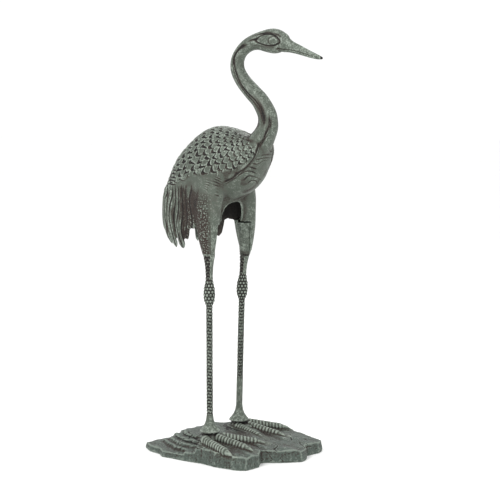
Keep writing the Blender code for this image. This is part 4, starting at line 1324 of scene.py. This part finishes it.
# %% [markdown]
# ## Studio
# The photograph is a plain product picture: a pale ground and large soft lights. Area lights a metre or
# more across do that: one high on the left, a weaker one on the right and one behind. A pale world fills
# the rest.


# %% Floor
FLOOR_WHITE = (0.94, 0.94, 0.935, 1)
FLOOR_BRIGHT = (0.96, 0.96, 0.955, 1)


def make_floor():
    bm = bmesh.new()
    bmesh.ops.create_grid(bm, x_segments=8, y_segments=8, size=40)
    floor = mesh_object("floor", bm)
    material = bpy.data.materials.new("pale_floor")
    material.use_nodes = True
    tree, shader = shader_of(material)
    plug(tree, blended(tree, cloudy(tree, 900), FLOOR_WHITE, FLOOR_BRIGHT), shader, "Base Color")
    set_all_over(shader, Roughness=0.9)
    wearing(floor, material)


make_floor()
print("the floor is laid")

# %% Lights
LIT_PLACE = Vector((0, 0, 0.45))
# Place, width in metres and power in watts of each light
LIGHTS = {
    "key": ((0.2, -2.4, 2.9), 1.2, 56), "fill": ((2.8, -0.4, 1.6), 1.8, 12),
    "back": ((-1.5, 2.4, 2.2), 1.6, 14),
}


def stand(name, data, place, aim):
    """A light or a camera standing at a place and turned to what it looks at."""
    obj = bpy.data.objects.new(name, data)
    obj.location = place
    obj.rotation_euler = (aim - Vector(place)).to_track_quat("-Z", "Y").to_euler()
    bpy.context.scene.collection.objects.link(obj)
    return obj


for name, (place, size, power) in LIGHTS.items():
    light = bpy.data.lights.new(name, "AREA")
    light.size, light.energy = size, power
    stand(name, light, place, LIT_PLACE)
world = bpy.data.worlds.new("studio")
world.use_nodes = True
world.node_tree.nodes["Background"].inputs["Color"].default_value = (1, 1, 1, 1)
world.node_tree.nodes["Background"].inputs["Strength"].default_value = 1.06
bpy.context.scene.world = world
bpy.context.scene.view_settings.view_transform = "Standard"

# %% [markdown]
# ## Camera
# The picture was taken from the bird's right, a little in front, from low down and far off, so a long lens
# at that place gives the same overlap of legs and the same small foreshortening. The lens is worked out for
# a square picture of 500 pixels.


# %% The photograph's view
EYE = Vector((1.6293, -2.0107, 0.70))
# The direction that runs across the picture, on the ground
ACROSS = Vector((0.766, 0.643, 0))
# Width of the picture, and the distance at which one pixel covers its own width
PICTURE, REACH = 500, 1256
SENSOR = 36


def set_camera():
    middle = Vector((-MIDDLE[0], -MIDDLE[1], 450)) * UNIT
    up = ACROSS.cross((middle - EYE).normalized())
    aim = middle + ACROSS * 0.049 - up * 0.021
    camera = bpy.data.cameras.new("camera")
    camera.sensor_width, camera.lens = SENSOR, SENSOR * REACH / PICTURE
    bpy.context.scene.camera = stand("camera", camera, EYE, aim)
    print("the camera stands", round((aim - EYE).length, 2), "m away")


set_camera()
